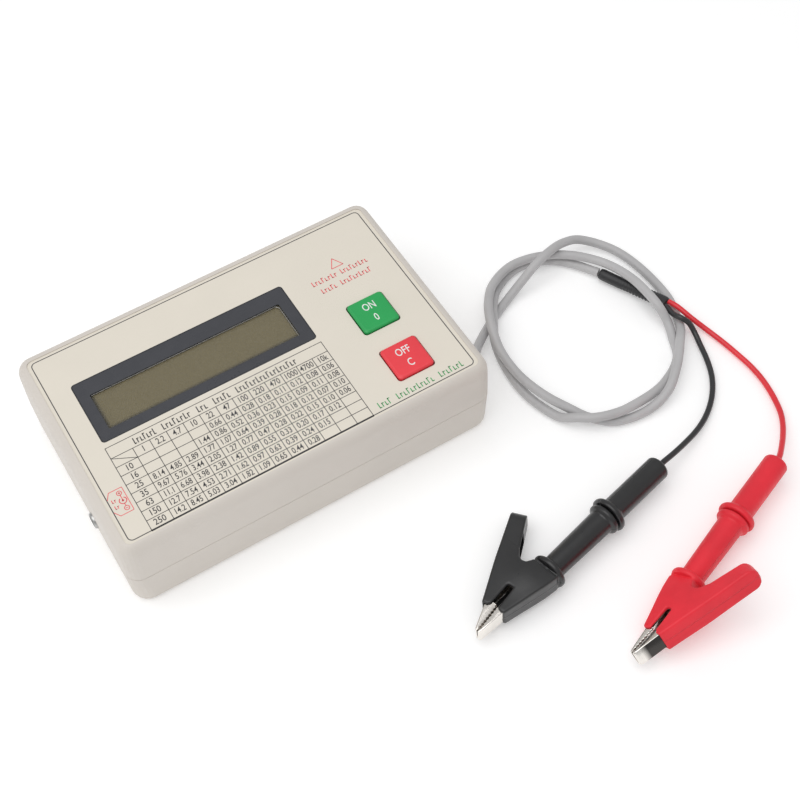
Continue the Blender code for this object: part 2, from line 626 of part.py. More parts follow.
def display_module():
    x, y = WINDOW_C
    board_top = LCD_BOARD_Z + BOARD_THICK
    low = (x - LCD_BOARD_X / 2, y - LCD_BOARD_Y / 2, LCD_BOARD_Z)
    high = (x + LCD_BOARD_X / 2, y + LCD_BOARD_Y / 2, board_top)
    board = box("lcd_board", low, high, "board_green")
    clear = 0.0042
    for k, (bx, by) in enumerate(corner_places(*BOSS_XY)[1:3]):
        cut(board, boss(f"cut_lcd_board_corner_{k + 1}", bx, by, 0.020, 0.030, clear))
    frame_low = (x - BEZEL_X / 2, y - BEZEL_Y / 2, board_top + GAP)
    frame_high = (x + BEZEL_X / 2, y + BEZEL_Y / 2, BEZEL_TOP_Z - 0.0009)
    frame = box("lcd_bezel", frame_low, frame_high, "black_frame", 0.0006)
    step_x = WINDOW_X / 2 - 0.0012 - 2 * GAP
    step_y = WINDOW_Y / 2 - 0.0004 - 2 * GAP
    step_low = (x - step_x, y - step_y, BEZEL_TOP_Z - 0.0020)
    join(frame, box("add_bezel_step", step_low, (x + step_x, y + step_y, BEZEL_TOP_Z), None))
    inner = 0.0010
    cavity_low = (x - BEZEL_X / 2 + inner, y - BEZEL_Y / 2 + inner, board_top - 0.001)
    cavity_high = (x + BEZEL_X / 2 - inner, y + BEZEL_Y / 2 - inner, BEZEL_TOP_Z - 0.0006)
    cut(frame, box("cut_bezel_cavity", cavity_low, cavity_high, None))
    view_low = (x - VIEW_X / 2, y - VIEW_Y / 2, BEZEL_TOP_Z - 0.002)
    cut(frame, box("cut_bezel_view", view_low, (x + VIEW_X / 2, y + VIEW_Y / 2, 0.032), None, 0.0005))
    glass_x = BEZEL_X / 2 - inner - GAP
    glass_y = BEZEL_Y / 2 - inner - GAP
    glass_top = BEZEL_TOP_Z - 0.0006 - GAP
    glass_low = (x - glass_x, y - glass_y, glass_top - GLASS_THICK)
    box("lcd_glass", glass_low, (x + glass_x, y + glass_y, glass_top), "lcd_olive")
    light_top = glass_top - GLASS_THICK - GAP
    light_low = (x - glass_x, y - glass_y, board_top + GAP)
    box("lcd_backlight", light_low, (x + glass_x, y + glass_y, light_top), "backlight_white")
    row = y + LCD_BOARD_Y / 2 - 0.0025
    header_low = (x - 0.030, row - 0.0012, BOARD_Z + BOARD_THICK + GAP)
    box("lcd_header", header_low, (x + 0.010, row + 0.0012, LCD_BOARD_Z - GAP), "black_plastic")


# ---------------------------------------------------------------- main board and what is on it

def main_board():
    low = (-BOARD_X / 2, -BOARD_Y / 2, BOARD_Z)
    board = box("main_board", low, (BOARD_X / 2, BOARD_Y / 2, BOARD_Z + BOARD_THICK), "board_green", 0.002)
    for k, (x, y) in enumerate(corner_places(*BOSS_XY)):
        cut(board, boss(f"cut_board_hole_{k + 1}", x, y, 0.018, 0.022, SCREW_R + GAP))


def board_parts():
    """Pieces under the main board, clear of the battery bay."""
    under = BOARD_Z - GAP
    box("microcontroller", (0.0180, 0.0060, under - 0.0026), (0.0300, 0.0180, under), "black_plastic")
    crystal = box("crystal", (0.0335, 0.0080, under - 0.0035), (0.0380, 0.0190, under), "steel", 0.0015)
    crystal.data.shade_flat()
    cylinder("converter_coil", 0.0055, (0.0200, -0.0060, under - 0.0070), (0.0200, -0.0060, under), "coil_copper")
    cylinder(
        "filter_capacitor", 0.0050, (0.0350, -0.0080, under - 0.0110), (0.0350, -0.0080, under), "cell_blue")


def dc_jack():
    wall = CASE_X / 2 - wall_offset(JACK_Z)
    nose_out = -(CASE_X / 2 + STAND_OUT)
    body_front = -(wall - WALL - GAP)
    body_low = (body_front, JACK_Y - 0.0048, JACK_Z - 0.0050)
    body_high = (body_front + 0.0115, JACK_Y + 0.0048, BOARD_Z - GAP)
    body = box("dc_jack", body_low, body_high, "black_plastic")
    nose_in = body_front + 0.001
    nose_ends = ((nose_out, JACK_Y, JACK_Z), (nose_in, JACK_Y, JACK_Z))
    nose = cylinder("add_jack_nose", JACK_NOSE_R, *nose_ends, None)
    rounding = nose.modifiers.new("rounding", "BEVEL")
    rounding.width = JACK_NOSE_ROUND
    rounding.segments = 3
    rounding.limit_method = "ANGLE"
    rounding.angle_limit = math.radians(50)
    join(body, nose)
    deep = body_front + 0.0090
    bore_ends = ((nose_out - 0.001, JACK_Y, JACK_Z), (deep, JACK_Y, JACK_Z))
    cut(body, cylinder("cut_jack_bore", JACK_BORE_R, *bore_ends, None))
    pin_start = (nose_out + 0.0012, JACK_Y, JACK_Z)
    cylinder("jack_pin", JACK_PIN_R, pin_start, (deep - GAP, JACK_Y, JACK_Z), "metal_bright", 16)


def cable_grommet():
    """A strain-relief bush that grips the wall from both sides and lets the lead through."""
    wall = CASE_X / 2 - wall_offset(OUTLET_Z)
    inner = (wall - WALL - GAP - 0.0012) / MM
    outer = (CASE_X / 2 + STAND_OUT) / MM
    face_in = (wall - WALL - GAP) / MM
    face_out = (wall + GAP) / MM
    profile = [
        (0, inner), (3.9, inner), (3.9, face_in), (2.7, face_in), (2.7, face_out), (3.6, face_out),
        (3.4, outer), (0, outer),
    ]
    bush = turned("cable_grommet", profile, "black_plastic")
    bush.location = (0, OUTLET_Y, OUTLET_Z)
    start = (inner * MM - 0.001, OUTLET_Y, OUTLET_Z)
    bore = cylinder("cut_grommet_bore", CABLE_R + GAP, start, (outer * MM + 0.001, OUTLET_Y, OUTLET_Z), None)
    cut(bush, bore)


# ---------------------------------------------------------------- batteries

def battery_bay():
    x, y = BAY_C
    half_x = BAY_X / 2
    half_y = BAY_Y / 2
    low = (x - half_x, y - half_y, FLOOR_THICK + GAP)
    holder = box("battery_holder", low, (x + half_x, y + half_y, BOARD_Z - GAP), "black_plastic", 0.001)
    wall = 0.0010
    inner_low = (x - half_x + wall, y - half_y + 0.0006, -0.001)
    inner_high = (x + half_x - wall, y + half_y - 0.0006, BOARD_Z - GAP - 0.0011)
    cut(holder, box("cut_holder_inside", inner_low, inner_high, None))
    for k, side in enumerate((-1, 1)):
        cell_y = y + side * CELL_PITCH / 2
        battery(k + 1, x, cell_y, side)
    for name, side in (("left", -1), ("right", 1)):
        face = x + side * (half_x - wall - GAP)
        near = face - side * 0.0005
        plate_low = (min(face, near), y - half_y + 0.0015, 0.0045)
        box(f"contact_plate_{name}", plate_low, (max(face, near), y + half_y - 0.0015, 0.0160), "metal_bright")


def battery(number, x, y, side):
    """One AA cell with its raised positive end, and the spring at its flat end."""
    start = x - side * CELL_LENGTH / 2
    flat = start + side * 0.0010
    shoulder = x + side * (CELL_LENGTH / 2 - 0.001)
    tip = x + side * (CELL_LENGTH / 2 + 0.001)
    cell = cylinder(f"battery_{number}", CELL_R, (flat, y, CELL_Z), (shoulder, y, CELL_Z), "cell_blue")
    tip_start = (shoulder - side * 0.001, y, CELL_Z)
    join(cell, cylinder(f"add_cell_tip_{number}", 0.0027, tip_start, (tip, y, CELL_Z), None))
    plate = x - side * (BAY_X / 2 - 0.0010 - 2 * GAP - 0.0008)
    line = []
    turns = 3
    count = turns * 9
    wide = 0.0042
    narrow = 0.0026
    for k in range(count + 1):
        share = k / count
        angle = 2 * math.pi * turns * share
        radius = wide + (narrow - wide) * share
        along = plate + (flat - side * 0.0007 - plate) * share
        line.append((along, y + radius * math.cos(angle), CELL_Z + radius * math.sin(angle)))
    tube(f"contact_spring_{number}", line, SPRING_WIRE_R, "metal_bright", resolution=1)


def battery_door():
    """A flat lid whose origin is on its hinge, the lower front edge, with a finger groove at the back."""
    half_x = BAY_X / 2 - GAP
    depth = BAY_Y - 2 * GAP
    hinge = (BAY_C[0], BAY_C[1] - depth / 2, DOOR_Z)
    door = box("battery_door", (-half_x, 0, 0), (half_x, depth, DOOR_THICK), "case_grey")
    door.location = hinge
    grip_half = 0.008
    grip = box("cut_door_grip", (-grip_half, depth - 0.0050, -0.001), (grip_half, depth - 0.0025, 0.0008), None)
    grip.location = hinge
    cut(door, grip)


# ---------------------------------------------------------------- test lead

def test_lead():
    tube("test_cable", metres(CABLE_ROUTE), CABLE_R, "cable_grey", CABLE_STEP)
    tube("red_lead", metres(RED_ROUTE), LEAD_R, "lead_red", LEAD_STEP)
    tube("black_lead", metres(BLACK_ROUTE), LEAD_R, "lead_black", LEAD_STEP)
    splitter_sleeve()


def splitter_sleeve():
    """A shrunk sleeve: round over the cable, flat and wide where both leads leave it."""
    line = smooth_line(metres(SPLITTER_ROUTE), 0.0028)
    sides = 12
    rings = []
    for k, point in enumerate(line):
        ahead = line[min(k + 1, len(line) - 1)] - line[max(k - 1, 0)]
        across = ahead.cross(Vector((0, 0, 1))).normalized()
        above = across.cross(ahead).normalized()
        share = k / (len(line) - 1)
        wide = (2.05 + 0.45 * share) * MM
        high = (2.05 - 0.45 * share) * MM
        ring = []
        for side in range(sides):
            angle = 2 * math.pi * side / sides
            ring.append(point + across * wide * math.cos(angle) + above * high * math.sin(angle))
        rings.append(ring)
    loft("splitter_sleeve", rings, "sleeve_black", 60)


# ---------------------------------------------------------------- plugs and clips

def clip_pose(place):
    """World matrix of a clip from its heading, nose lift and roll about its own length."""
    yaw = math.radians(place["yaw"])
    pitch = math.radians(place["pitch"])
    roll = math.radians(place["roll"])
    ahead = Vector((math.cos(yaw) * math.cos(pitch), math.sin(yaw) * math.cos(pitch), math.sin(pitch)))
    level = Vector((0, 0, 1)).cross(ahead).normalized() * place["side"]
    above = ahead.cross(level) * place["side"]
    lever = level * math.cos(roll) + above * math.sin(roll)
    through = ahead.cross(lever)
    matrix = Matrix((ahead, lever, through)).transposed().to_4x4()
    matrix.translation = Vector(place["origin"]) * MM
    return matrix


def add_empty(name, parent=None, location=(0, 0, 0)):
    empty = bpy.data.objects.new(name, None)
    PARTS.objects.link(empty)
    empty.parent = parent
    empty.location = location
    return empty


def attach(parts, parent):
    for part in parts:
        part.parent = parent


def round_cutter(name, radius, start, end, parent):
    cutter = cylinder(name, radius * MM, (start * MM, 0, 0), (end * MM, 0, 0), None, 16)
    cutter.parent = parent
    return cutter


def pin_through(name, radius, half, finish, parent, at=PIVOT, sides=14):
    x, y = at
    made = cylinder(name, radius * MM, (x * MM, y * MM, -half * MM), (x * MM, y * MM, half * MM), finish, sides)
    made.parent = parent
    return made


def slab_cutter(name, outline, half, parent, low=None):
    cutter = slab(name, outline, half, None, low)
    cutter.parent = parent
    return cutter


def plug(colour, frame):
    barrel = turned(f"{colour}_plug_barrel", BARREL_PROFILE, f"clip_{colour}")
    pin = turned(f"{colour}_plug_pin", PIN_PROFILE, "metal_bright", 14)
    attach([barrel, pin], frame)
    cut(barrel, round_cutter(f"cut_{colour}_barrel_front", BARREL_BORE_R, -7.7, 2.0, frame))
    cut(barrel, round_cutter(f"cut_{colour}_barrel_back", LEAD_R / MM + 0.35, -25.0, -18.5, frame))


def clip_boot(colour, frame):
    """Sleeve, collar and lower cover in one moulding, hollow for the socket and the fixed jaw."""
    boot = turned(f"{colour}_clip_boot", SLEEVE_PROFILE, f"clip_{colour}", 18)
    boot.parent = frame
    cover = slab_cutter(f"add_{colour}_lower_cover", LOWER_COVER, COVER_HALF, frame)
    join(boot, cover)
    cut(boot, slab_cutter(f"cut_{colour}_lower_cavity", LOWER_CAVITY, COVER_INNER_HALF, frame))
    cut(boot, round_cutter(f"cut_{colour}_sleeve_bore", SLEEVE_BORE_R, 0.0, 30.0, frame))


def fixed_jaw(colour, frame):
    """Plug socket and lower jaw, bent up from one strip."""
    jaw = turned(f"{colour}_fixed_jaw", [(0, 1.8), (SOCKET_R, 1.8), (SOCKET_R, 29.2), (0, 29.2)], "metal_bright", 16)
    jaw.parent = frame
    join(jaw, slab_cutter(f"add_{colour}_fixed_jaw", FIXED_JAW, JAW_HALF, frame))
    inner = JAW_HALF - JAW_WALL
    cut(jaw, slab_cutter(f"cut_{colour}_fixed_jaw", FIXED_JAW_HOLLOW, inner, frame))
    cut(jaw, round_cutter(f"cut_{colour}_socket", BARREL_BORE_R, 0.0, 22.5, frame))
    cut(jaw, pin_through(f"cut_{colour}_fixed_eye", EYE_R, 5.0, None, frame))


def hang_on_pivot(part, pivot):
    """Parent a piece modelled in the clip's frame to the empty on the pivot."""
    part.parent = pivot
    part.location = -pivot.location


def moving_jaw(colour, frame, pivot):
    """Upper jaw and finger lever, a channel whose rear is narrower to fit between the fixed ears."""
    jaw = slab(f"{colour}_moving_jaw", MOVING_JAW, JAW_HALF, "metal_bright")
    hang_on_pivot(jaw, pivot)
    rear = [(0.0, -20.0), (MOVING_REAR_X, -20.0), (MOVING_REAR_X, 40.0), (0.0, 40.0)]
    for side, low in (("a", MOVING_REAR_HALF), ("b", -JAW_HALF - 1.0)):
        high = JAW_HALF + 1.0 if side == "a" else -MOVING_REAR_HALF
        cut(jaw, slab_cutter(f"cut_{colour}_rear_{side}", rear, high, frame, low))
    cut(jaw, slab_cutter(f"cut_{colour}_moving_jaw", MOVING_JAW_HOLLOW, MOVING_REAR_HALF - JAW_WALL, frame))
    cut(jaw, pin_through(f"cut_{colour}_moving_eye", EYE_R, 5.0, None, frame))


def lever_cover(colour, frame, pivot):
    cover = slab(f"{colour}_lever_cover", UPPER_COVER, COVER_HALF, f"clip_{colour}")
    hang_on_pivot(cover, pivot)
    cut(cover, slab_cutter(f"cut_{colour}_upper_cavity", UPPER_CAVITY, COVER_INNER_HALF, frame))


def clip_spring(colour, frame):
    """Two turns of torsion spring round the pivot, inside both jaws."""
    turns = 2
    count = turns * 9
    radius = 1.85
    half = 0.85
    x, y = PIVOT
    line = []
    for k in range(count + 1):
        angle = math.radians(-60) + 2 * math.pi * turns * k / count
        z = half * (2 * k / count - 1)
        line.append((x + radius * math.cos(angle), y + radius * math.sin(angle), z))
    spring = tube(f"{colour}_clip_spring", metres(line), SPRING_WIRE_R, "steel", resolution=1)
    spring.parent = frame


def clip(colour, place):
    frame = add_empty(f"{colour}_clip_frame")
    frame.matrix_world = clip_pose(place)
    pivot = add_empty(f"{colour}_pivot_frame", frame, metres([(*PIVOT, 0)])[0])
    plug(colour, frame)
    clip_boot(colour, frame)
    fixed_jaw(colour, frame)
    moving_jaw(colour, frame, pivot)
    lever_cover(colour, frame, pivot)
    pin_through(f"{colour}_clip_pivot", PIVOT_R, PIVOT_HALF, "steel", frame)
    clip_spring(colour, frame)


def build():
    upper_case()
    lower_case()
    case_screws()
    front_label()
    display_window()
    key("green_key", GREEN_KEY_Y, "key_green")
    key("red_key", RED_KEY_Y, "key_red")
    key_switch("green_switch", GREEN_KEY_Y)
    key_switch("red_switch", RED_KEY_Y)
    display_module()
    main_board()
    board_parts()
    dc_jack()
    cable_grommet()
    battery_bay()
    battery_door()
    test_lead()
    clip("black", BLACK_CLIP)
    clip("red", RED_CLIP)
    bpy.context.view_layer.update()


build()
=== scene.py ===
"""Looks of the LCR meter: smooth cords, soft clip skins, printed label, display, keys and materials."""
import json
import math

import bmesh
import bpy
from mathutils import Euler, Matrix, Vector


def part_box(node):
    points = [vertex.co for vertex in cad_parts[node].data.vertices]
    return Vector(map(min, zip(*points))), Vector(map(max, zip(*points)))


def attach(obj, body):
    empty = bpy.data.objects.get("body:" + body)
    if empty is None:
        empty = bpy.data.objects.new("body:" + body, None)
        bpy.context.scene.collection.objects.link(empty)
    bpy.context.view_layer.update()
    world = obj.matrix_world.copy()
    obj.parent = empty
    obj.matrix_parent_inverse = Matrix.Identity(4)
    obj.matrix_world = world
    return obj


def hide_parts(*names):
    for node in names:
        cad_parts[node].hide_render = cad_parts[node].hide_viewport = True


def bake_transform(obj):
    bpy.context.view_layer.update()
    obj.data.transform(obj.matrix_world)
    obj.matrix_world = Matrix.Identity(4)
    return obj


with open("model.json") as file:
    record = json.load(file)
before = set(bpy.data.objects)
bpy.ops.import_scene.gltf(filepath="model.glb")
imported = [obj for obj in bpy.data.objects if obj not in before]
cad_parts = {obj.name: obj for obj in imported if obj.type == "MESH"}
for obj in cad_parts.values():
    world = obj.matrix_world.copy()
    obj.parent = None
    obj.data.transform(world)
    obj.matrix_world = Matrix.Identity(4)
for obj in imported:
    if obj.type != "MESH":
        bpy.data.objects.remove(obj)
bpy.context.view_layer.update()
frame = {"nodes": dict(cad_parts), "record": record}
NODES = frame["nodes"]
MM = 0.001

# ---------------- camera

# Place in metres, and turn about X, Y and Z in degrees.
CAMERA_AT = (-0.08223, -0.24612, 0.38691)
CAMERA_TURN = (33.8753, 1.7339, -31.0994)
LENS_MM = 63.9
SENSOR_MM = 36.0
NEAR_CLIP = 0.01


def add_camera():
    data = bpy.data.cameras.new("camera")
    data.lens = LENS_MM
    data.sensor_width = SENSOR_MM
    data.clip_start = NEAR_CLIP
    camera = bpy.data.objects.new("camera", data)
    bpy.context.scene.collection.objects.link(camera)
    turn = Euler([math.radians(angle) for angle in CAMERA_TURN])
    camera.matrix_world = Matrix.LocRotScale(Vector(CAMERA_AT), turn, None)
    bpy.context.scene.camera = camera


add_camera()

# ---------------- places and sizes

# Routes of the cords' centre lines in mm, the same as in part.py.
CABLE_ROUTE = [
    (58, -22, 8.6), (64.5, -22, 8.5), (69.6, -19.6, 7.2), (73.2, -16, 5.0),
    (81.7, -9.2, 1.8), (88.1, -5.6, 1.65), (95.9, -2.2, 2.6), (101.6, -0.8, 5.5),
    (106.6, 0.4, 7.9), (114.2, 2.2, 9.3), (121.5, 3.9, 7.6), (128.5, 3.9, 4.6),
    (136.9, -4.1, 2.1), (140.2, -15.4, 1.65), (140.5, -31.1, 1.65), (138.2, -39, 1.75),
    (135.3, -44.9, 2.9), (131, -49.7, 5.1), (127.9, -53.3, 5.5), (122.9, -58.3, 5.3),
    (116.2, -63.1, 3.9), (107.8, -64.8, 1.9), (96, -62.7, 1.65), (89.5, -56.8, 1.7),
    (85.2, -50.9, 3.3), (80.6, -43.7, 5.4), (78.1, -32.4, 5.4), (78.3, -21.7, 6.0),
    (79.7, -15, 8.1), (81.6, -10.1, 8.8), (84.9, -4.4, 8.0), (91.2, 2.4, 6.3),
    (102, 6.6, 5.3), (112.7, 4.6, 5.3), (121.7, -0.8, 5.3), (129.2, -9.8, 5.4),
    (132.4, -20.6, 6.5), (132.7, -30, 7.3), (132.7, -35.5, 6.8), (133.3, -40.4, 3.0),
    (131.5, -45.8, 1.65), (127.6, -53.4, 1.65), (117.1, -59.3, 1.65), (102.1, -62, 4.4),
    (96.5, -61.9, 5.2), (89.7, -59.9, 5.4), (84.8, -56.3, 4.6), (81.2, -51.2, 1.75),
    (77.4, -38, 1.65), (78.2, -23.5, 1.65), (80.4, -15.3, 3.0), (83, -10.5, 5.35),
    (87.6, -3.4, 4.5), (94.4, 3.5, 1.8), (104.3, 6.9, 1.65), (113.9, 4.8, 1.65),
    (121.1, -1.2, 1.7), (126.7, -10.1, 2.2),
]
SPLITTER_ROUTE = [
    (127, -10.7, 2.2), (129.9, -16.8, 2.2), (132.7, -22.9, 2.7), (135.1, -29.4, 3.6),
    (136.9, -34.3, 4.4),
]
RED_ROUTE = [
    (138.1, -34.4, 4.5), (139.0, -38.0, 4.9), (140.9, -43.8, 3.4), (143.4, -49.5, 1.4),
    (144.9, -56, 1.05), (145.8, -62.4, 1.05), (146.4, -68.5, 1.05), (146.3, -74.1, 1.05),
    (145.5, -79.3, 1.1), (144.2, -84, 1.3), (142.4, -88.4, 1.8), (139.6, -92.5, 2.8),
    (136.0, -96.5, 4.1), (132.2, -100.0, 5.6), (128.6, -102.9, 6.8), (125.6, -104.5, 7.1),
    (122.6, -105.6, 7.0),
]
BLACK_ROUTE = [
    (136.05, -35.2, 4.5), (135.9, -39.6, 4.9), (136.6, -42.7, 5.8), (138.3, -45, 4.4),
    (138.9, -48, 1.9), (137.8, -52.8, 1.05), (136.1, -58.3, 1.05), (133.9, -63.5, 1.05),
    (131.4, -67.5, 1.05), (128.2, -71.2, 1.05), (124.5, -74.4, 1.1), (120.2, -77.2, 1.5),
    (115, -79.7, 2.4), (109, -81.8, 3.6), (102.6, -83.7, 5.0), (97.4, -84.9, 5.8),
    (93, -86.0, 6.0),
]
CABLE_R = 0.00155
LEAD_R = 0.00095

# A hairline in metres: ink reaches so far below and above the face that it is printed on.
INK = 0.00002
LABEL_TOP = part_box("front_label")[1].z
PRINT_LOW = LABEL_TOP - INK
PRINT_HIGH = LABEL_TOP + INK
WINDOW_LOW, WINDOW_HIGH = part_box("display_window")


# ---------------- materials


# The two colour inputs and the colour output of a Mix node.
MIX_FIRST = 6
MIX_SECOND = 7
MIX_RESULT = 2


class Shader:
    """A Principled material with helpers for the nodes that feed it."""

    def __init__(self, name):
        self.material = bpy.data.materials.new(name)
        self.material.use_nodes = True
        self.tree = self.material.node_tree
        self.surface = self.tree.nodes["Principled BSDF"]
        self.place = self.tree.nodes.new("ShaderNodeTexCoord").outputs["Object"]

    def set(self, **values):
        for socket, value in values.items():
            self.surface.inputs[socket.replace("_", " ").title()].default_value = value

    def node(self, kind, **links):
        made = self.tree.nodes.new(kind)
        for socket, value in links.items():
            self.feed(made.inputs[socket], value)
        return made

    def feed(self, socket, value):
        if isinstance(value, bpy.types.NodeSocket):
            self.tree.links.new(value, socket)
        else:
            socket.default_value = value

    def noise(self, scale, detail=3.0, roughness=0.55):
        made = self.node(
            "ShaderNodeTexNoise", Vector=self.place, Scale=scale, Detail=detail, Roughness=roughness)
        return made.outputs["Fac"]

    def spread(self, value, low, high, to_low, to_high):
        made = self.node("ShaderNodeMapRange", Value=value)
        ends = {"From Min": low, "From Max": high, "To Min": to_low, "To Max": to_high}
        for socket, number in ends.items():
            made.inputs[socket].default_value = number
        return made.outputs["Result"]

    def patches(self, low, high, scale, detail=3.0, roughness=0.55):
        """Noise whose middle band runs from one value to another."""
        return self.spread(self.noise(scale, detail, roughness), 0.3, 0.7, low, high)

    def maths(self, operation, *values):
        made = self.node("ShaderNodeMath")
        made.operation = operation
        for socket, value in zip(made.inputs, values):
            self.feed(socket, value)
        return made.outputs[0]

    def blend(self, share, first, second):
        made = self.node("ShaderNodeMix")
        made.data_type = "RGBA"
        self.feed(made.inputs["Factor"], share)
        for socket, colour in ((MIX_FIRST, first), (MIX_SECOND, second)):
            given = isinstance(colour, bpy.types.NodeSocket)
            self.feed(made.inputs[socket], colour if given else (*colour, 1.0))
        return made.outputs[MIX_RESULT]

    def bump(self, height, strength, distance, under=None):
        made = self.node("ShaderNodeBump", Height=height, Strength=strength, Distance=distance)
        if under:
            self.feed(made.inputs["Normal"], under)
        return made.outputs["Normal"]

    def colour(self, socket):
        self.feed(self.surface.inputs["Base Color"], socket)

    def roughness(self, socket):
        self.feed(self.surface.inputs["Roughness"], socket)

    def normal(self, socket):
        self.feed(self.surface.inputs["Normal"], socket)


# Painted dark reflection on a jaw's outer face ends this far along the clip, in metres, over this length each
# side.
DARK_REFLECTION_TO = 0.0548
DARK_REFLECTION_FADE = (-0.0014, 0.0004)
DARK_REFLECTION_COLOUR = (0.026, 0.024, 0.023)


def shade(colour, factor):
    return tuple(min(1.0, c * factor) for c in colour)


def moulded(name, colour, rough, grain=2500.0, depth=0.00003, vary=0.06, wave=60.0, coat=0.0):
    """Moulded plastic or rubber: slow tone changes, patchy sheen and a fine grain."""
    shader = Shader(name)
    tone = shader.patches(0.0, 1.0, wave, 4.0)
    shader.colour(shader.blend(tone, shade(colour, 1 - vary), shade(colour, 1 + vary)))
    shader.roughness(shader.patches(rough - 0.06, rough + 0.07, wave * 5, 5.0))
    fine = shader.noise(grain, 2.0)
    broad = shader.noise(grain / 12, 2.0)
    soft = shader.bump(broad, 0.25, depth * 2)
    shader.normal(shader.bump(fine, 0.5, depth, soft))
    shader.set(coat_weight=coat, coat_roughness=0.25)
    return shader.material


def metal(name, colour, rough, grain=1800.0, depth=0.00002, spots=0.12, dark_reflection=0.0):
    """Metal with light scuffs and dull spots, and optionally a painted dark reflection on its outer faces."""
    shader = Shader(name)
    slow = shader.noise(220.0, 5.0)
    clean = shader.blend(shader.spread(slow, 0.35, 0.7, 0.0, 1.0), colour, shade(colour, 1 - spots))
    # Painted dark reflection: faces turned towards +Y in the object's frame, short of a point along X, are
    # blended towards a near-black colour.
    if dark_reflection:
        normal = shader.node("ShaderNodeTexCoord").outputs["Normal"]
        across = shader.node("ShaderNodeSeparateXYZ", Vector=normal)
        along = shader.node("ShaderNodeSeparateXYZ", Vector=shader.place)
        face = shader.spread(across.outputs["Y"], 0.45, 0.75, 0.0, dark_reflection)
        first, last = (DARK_REFLECTION_TO + fade for fade in DARK_REFLECTION_FADE)
        short = shader.spread(along.outputs["X"], first, last, 1.0, 0.0)
        clean = shader.blend(shader.maths("MULTIPLY", face, short), clean, DARK_REFLECTION_COLOUR)
    shader.colour(clean)
    scuff = shader.noise(500.0, 6.0, 0.7)
    shader.roughness(shader.spread(scuff, 0.3, 0.75, rough - 0.05, rough + 0.10))
    shader.normal(shader.bump(shader.noise(grain, 4.0), 0.35, depth))
    shader.set(metallic=1.0)
    return shader.material


def printed(name, colour, rough=0.45):
    """Printing ink: a thin coat whose density changes a little."""
    shader = Shader(name)
    density = shader.patches(0.0, 1.0, 700.0)
    shader.colour(shader.blend(density, shade(colour, 0.9), shade(colour, 1.12)))
    shader.roughness(shader.patches(rough - 0.05, rough + 0.05, 300.0))
    shader.normal(shader.bump(shader.noise(3000.0), 0.3, 0.00001))
    return shader.material


def circuit_board():
    """Green solder mask with lighter tracks under it."""
    shader = Shader("board_green")
    bricks = shader.node("ShaderNodeTexBrick", Vector=shader.place, Scale=180.0)
    bricks.inputs["Mortar Size"].default_value = 0.04
    tones = {"Color1": (0.012, 0.12, 0.035), "Color2": (0.016, 0.14, 0.04), "Mortar": (0.03, 0.24, 0.07)}
    for socket, colour in tones.items():
        bricks.inputs[socket].default_value = (*colour, 1.0)
    shader.colour(bricks.outputs["Color"])
    shader.roughness(shader.patches(0.3, 0.45, 400.0))
    shader.normal(shader.bump(bricks.outputs["Fac"], 0.4, 0.00004))
    return shader.material


def clear_window():
    """Acrylic over the display: a faint tint with dust specks."""
    shader = Shader("window_clear")
    dust = shader.spread(shader.noise(1600.0, 8.0, 0.75), 0.74, 0.80, 0.0, 1.0)
    shader.colour(shader.blend(dust, (0.03, 0.032, 0.03), (0.75, 0.74, 0.70)))
    shader.feed(shader.surface.inputs["Alpha"], shader.spread(dust, 0.0, 1.0, 0.10, 0.8))
    shader.roughness(shader.patches(0.10, 0.18, 200.0))
    shader.normal(shader.bump(shader.noise(90.0), 0.1, 0.00002))
    return shader.material


# Axis, middle and half of the display cell's even part, and the width of the painted shadow along its edges,
# in metres.
CELL_FIELD = (("X", -0.0143, 0.0328), ("Y", 0.0094, 0.0074))
CELL_SHADE_WIDE = 0.0012


def lcd_cell():
    """The unlit cell: olive, with painted shadow darkening it towards its edges."""
    shader = Shader("lcd_olive")
    parts = shader.node("ShaderNodeSeparateXYZ", Vector=shader.place)
    fade = []
    for axis, centre, half in CELL_FIELD:
        away = shader.maths("ABSOLUTE", shader.maths("SUBTRACT", parts.outputs[axis], centre))
        fade.append(shader.spread(away, half - CELL_SHADE_WIDE, half, 0.0, 1.0))
    # Painted shadow: the cell darkens over the last stretch before each edge.
    edge = shader.maths("SMOOTH_MIN", shader.maths("MAXIMUM", *fade), 1.0, 0.2)
    shader.colour(shader.blend(edge, (0.255, 0.218, 0.128), (0.100, 0.092, 0.072)))
    shader.roughness(shader.patches(0.22, 0.32, 500.0))
    shader.normal(shader.bump(shader.noise(1500.0), 0.2, 0.00001))
    return shader.material


# A mould's parting seam: full height within the first width from the plane, gone by the second.
SEAM_WIDTH = (0.00008, 0.00026)
SEAM_HIGH = 0.00016


def seamed(name, colour, rough, gloss, through, centre):
    """Clip rubber with the mould's parting seam where a plane meets the skin."""
    shader = Shader(name)
    tone = shader.patches(0.0, 1.0, 70.0, 4.0)
    shader.colour(shader.blend(tone, shade(colour, 0.9), shade(colour, 1.1)))
    shader.roughness(shader.patches(rough - 0.07, rough + 0.10, 420.0, 6.0, 0.7))
    dot = shader.node("ShaderNodeVectorMath")
    dot.operation = "DOT_PRODUCT"
    shader.feed(dot.inputs[0], shader.place)
    dot.inputs[1].default_value = through
    off = shader.maths("SUBTRACT", dot.outputs["Value"], through.dot(centre))
    ridge = shader.spread(shader.maths("ABSOLUTE", off), *SEAM_WIDTH, 1.0, 0.0)
    seam = shader.bump(ridge, 1.0, SEAM_HIGH)
    dents = shader.bump(shader.noise(650.0, 3.0), 0.25, 0.00008, seam)
    shader.normal(shader.bump(shader.noise(2600.0, 2.0), 0.4, 0.00003, dents))
    shader.surface.inputs["Specular IOR Level"].default_value = gloss
    shader.set(coat_weight=0.3 * gloss, coat_roughness=0.22)
    return shader.material


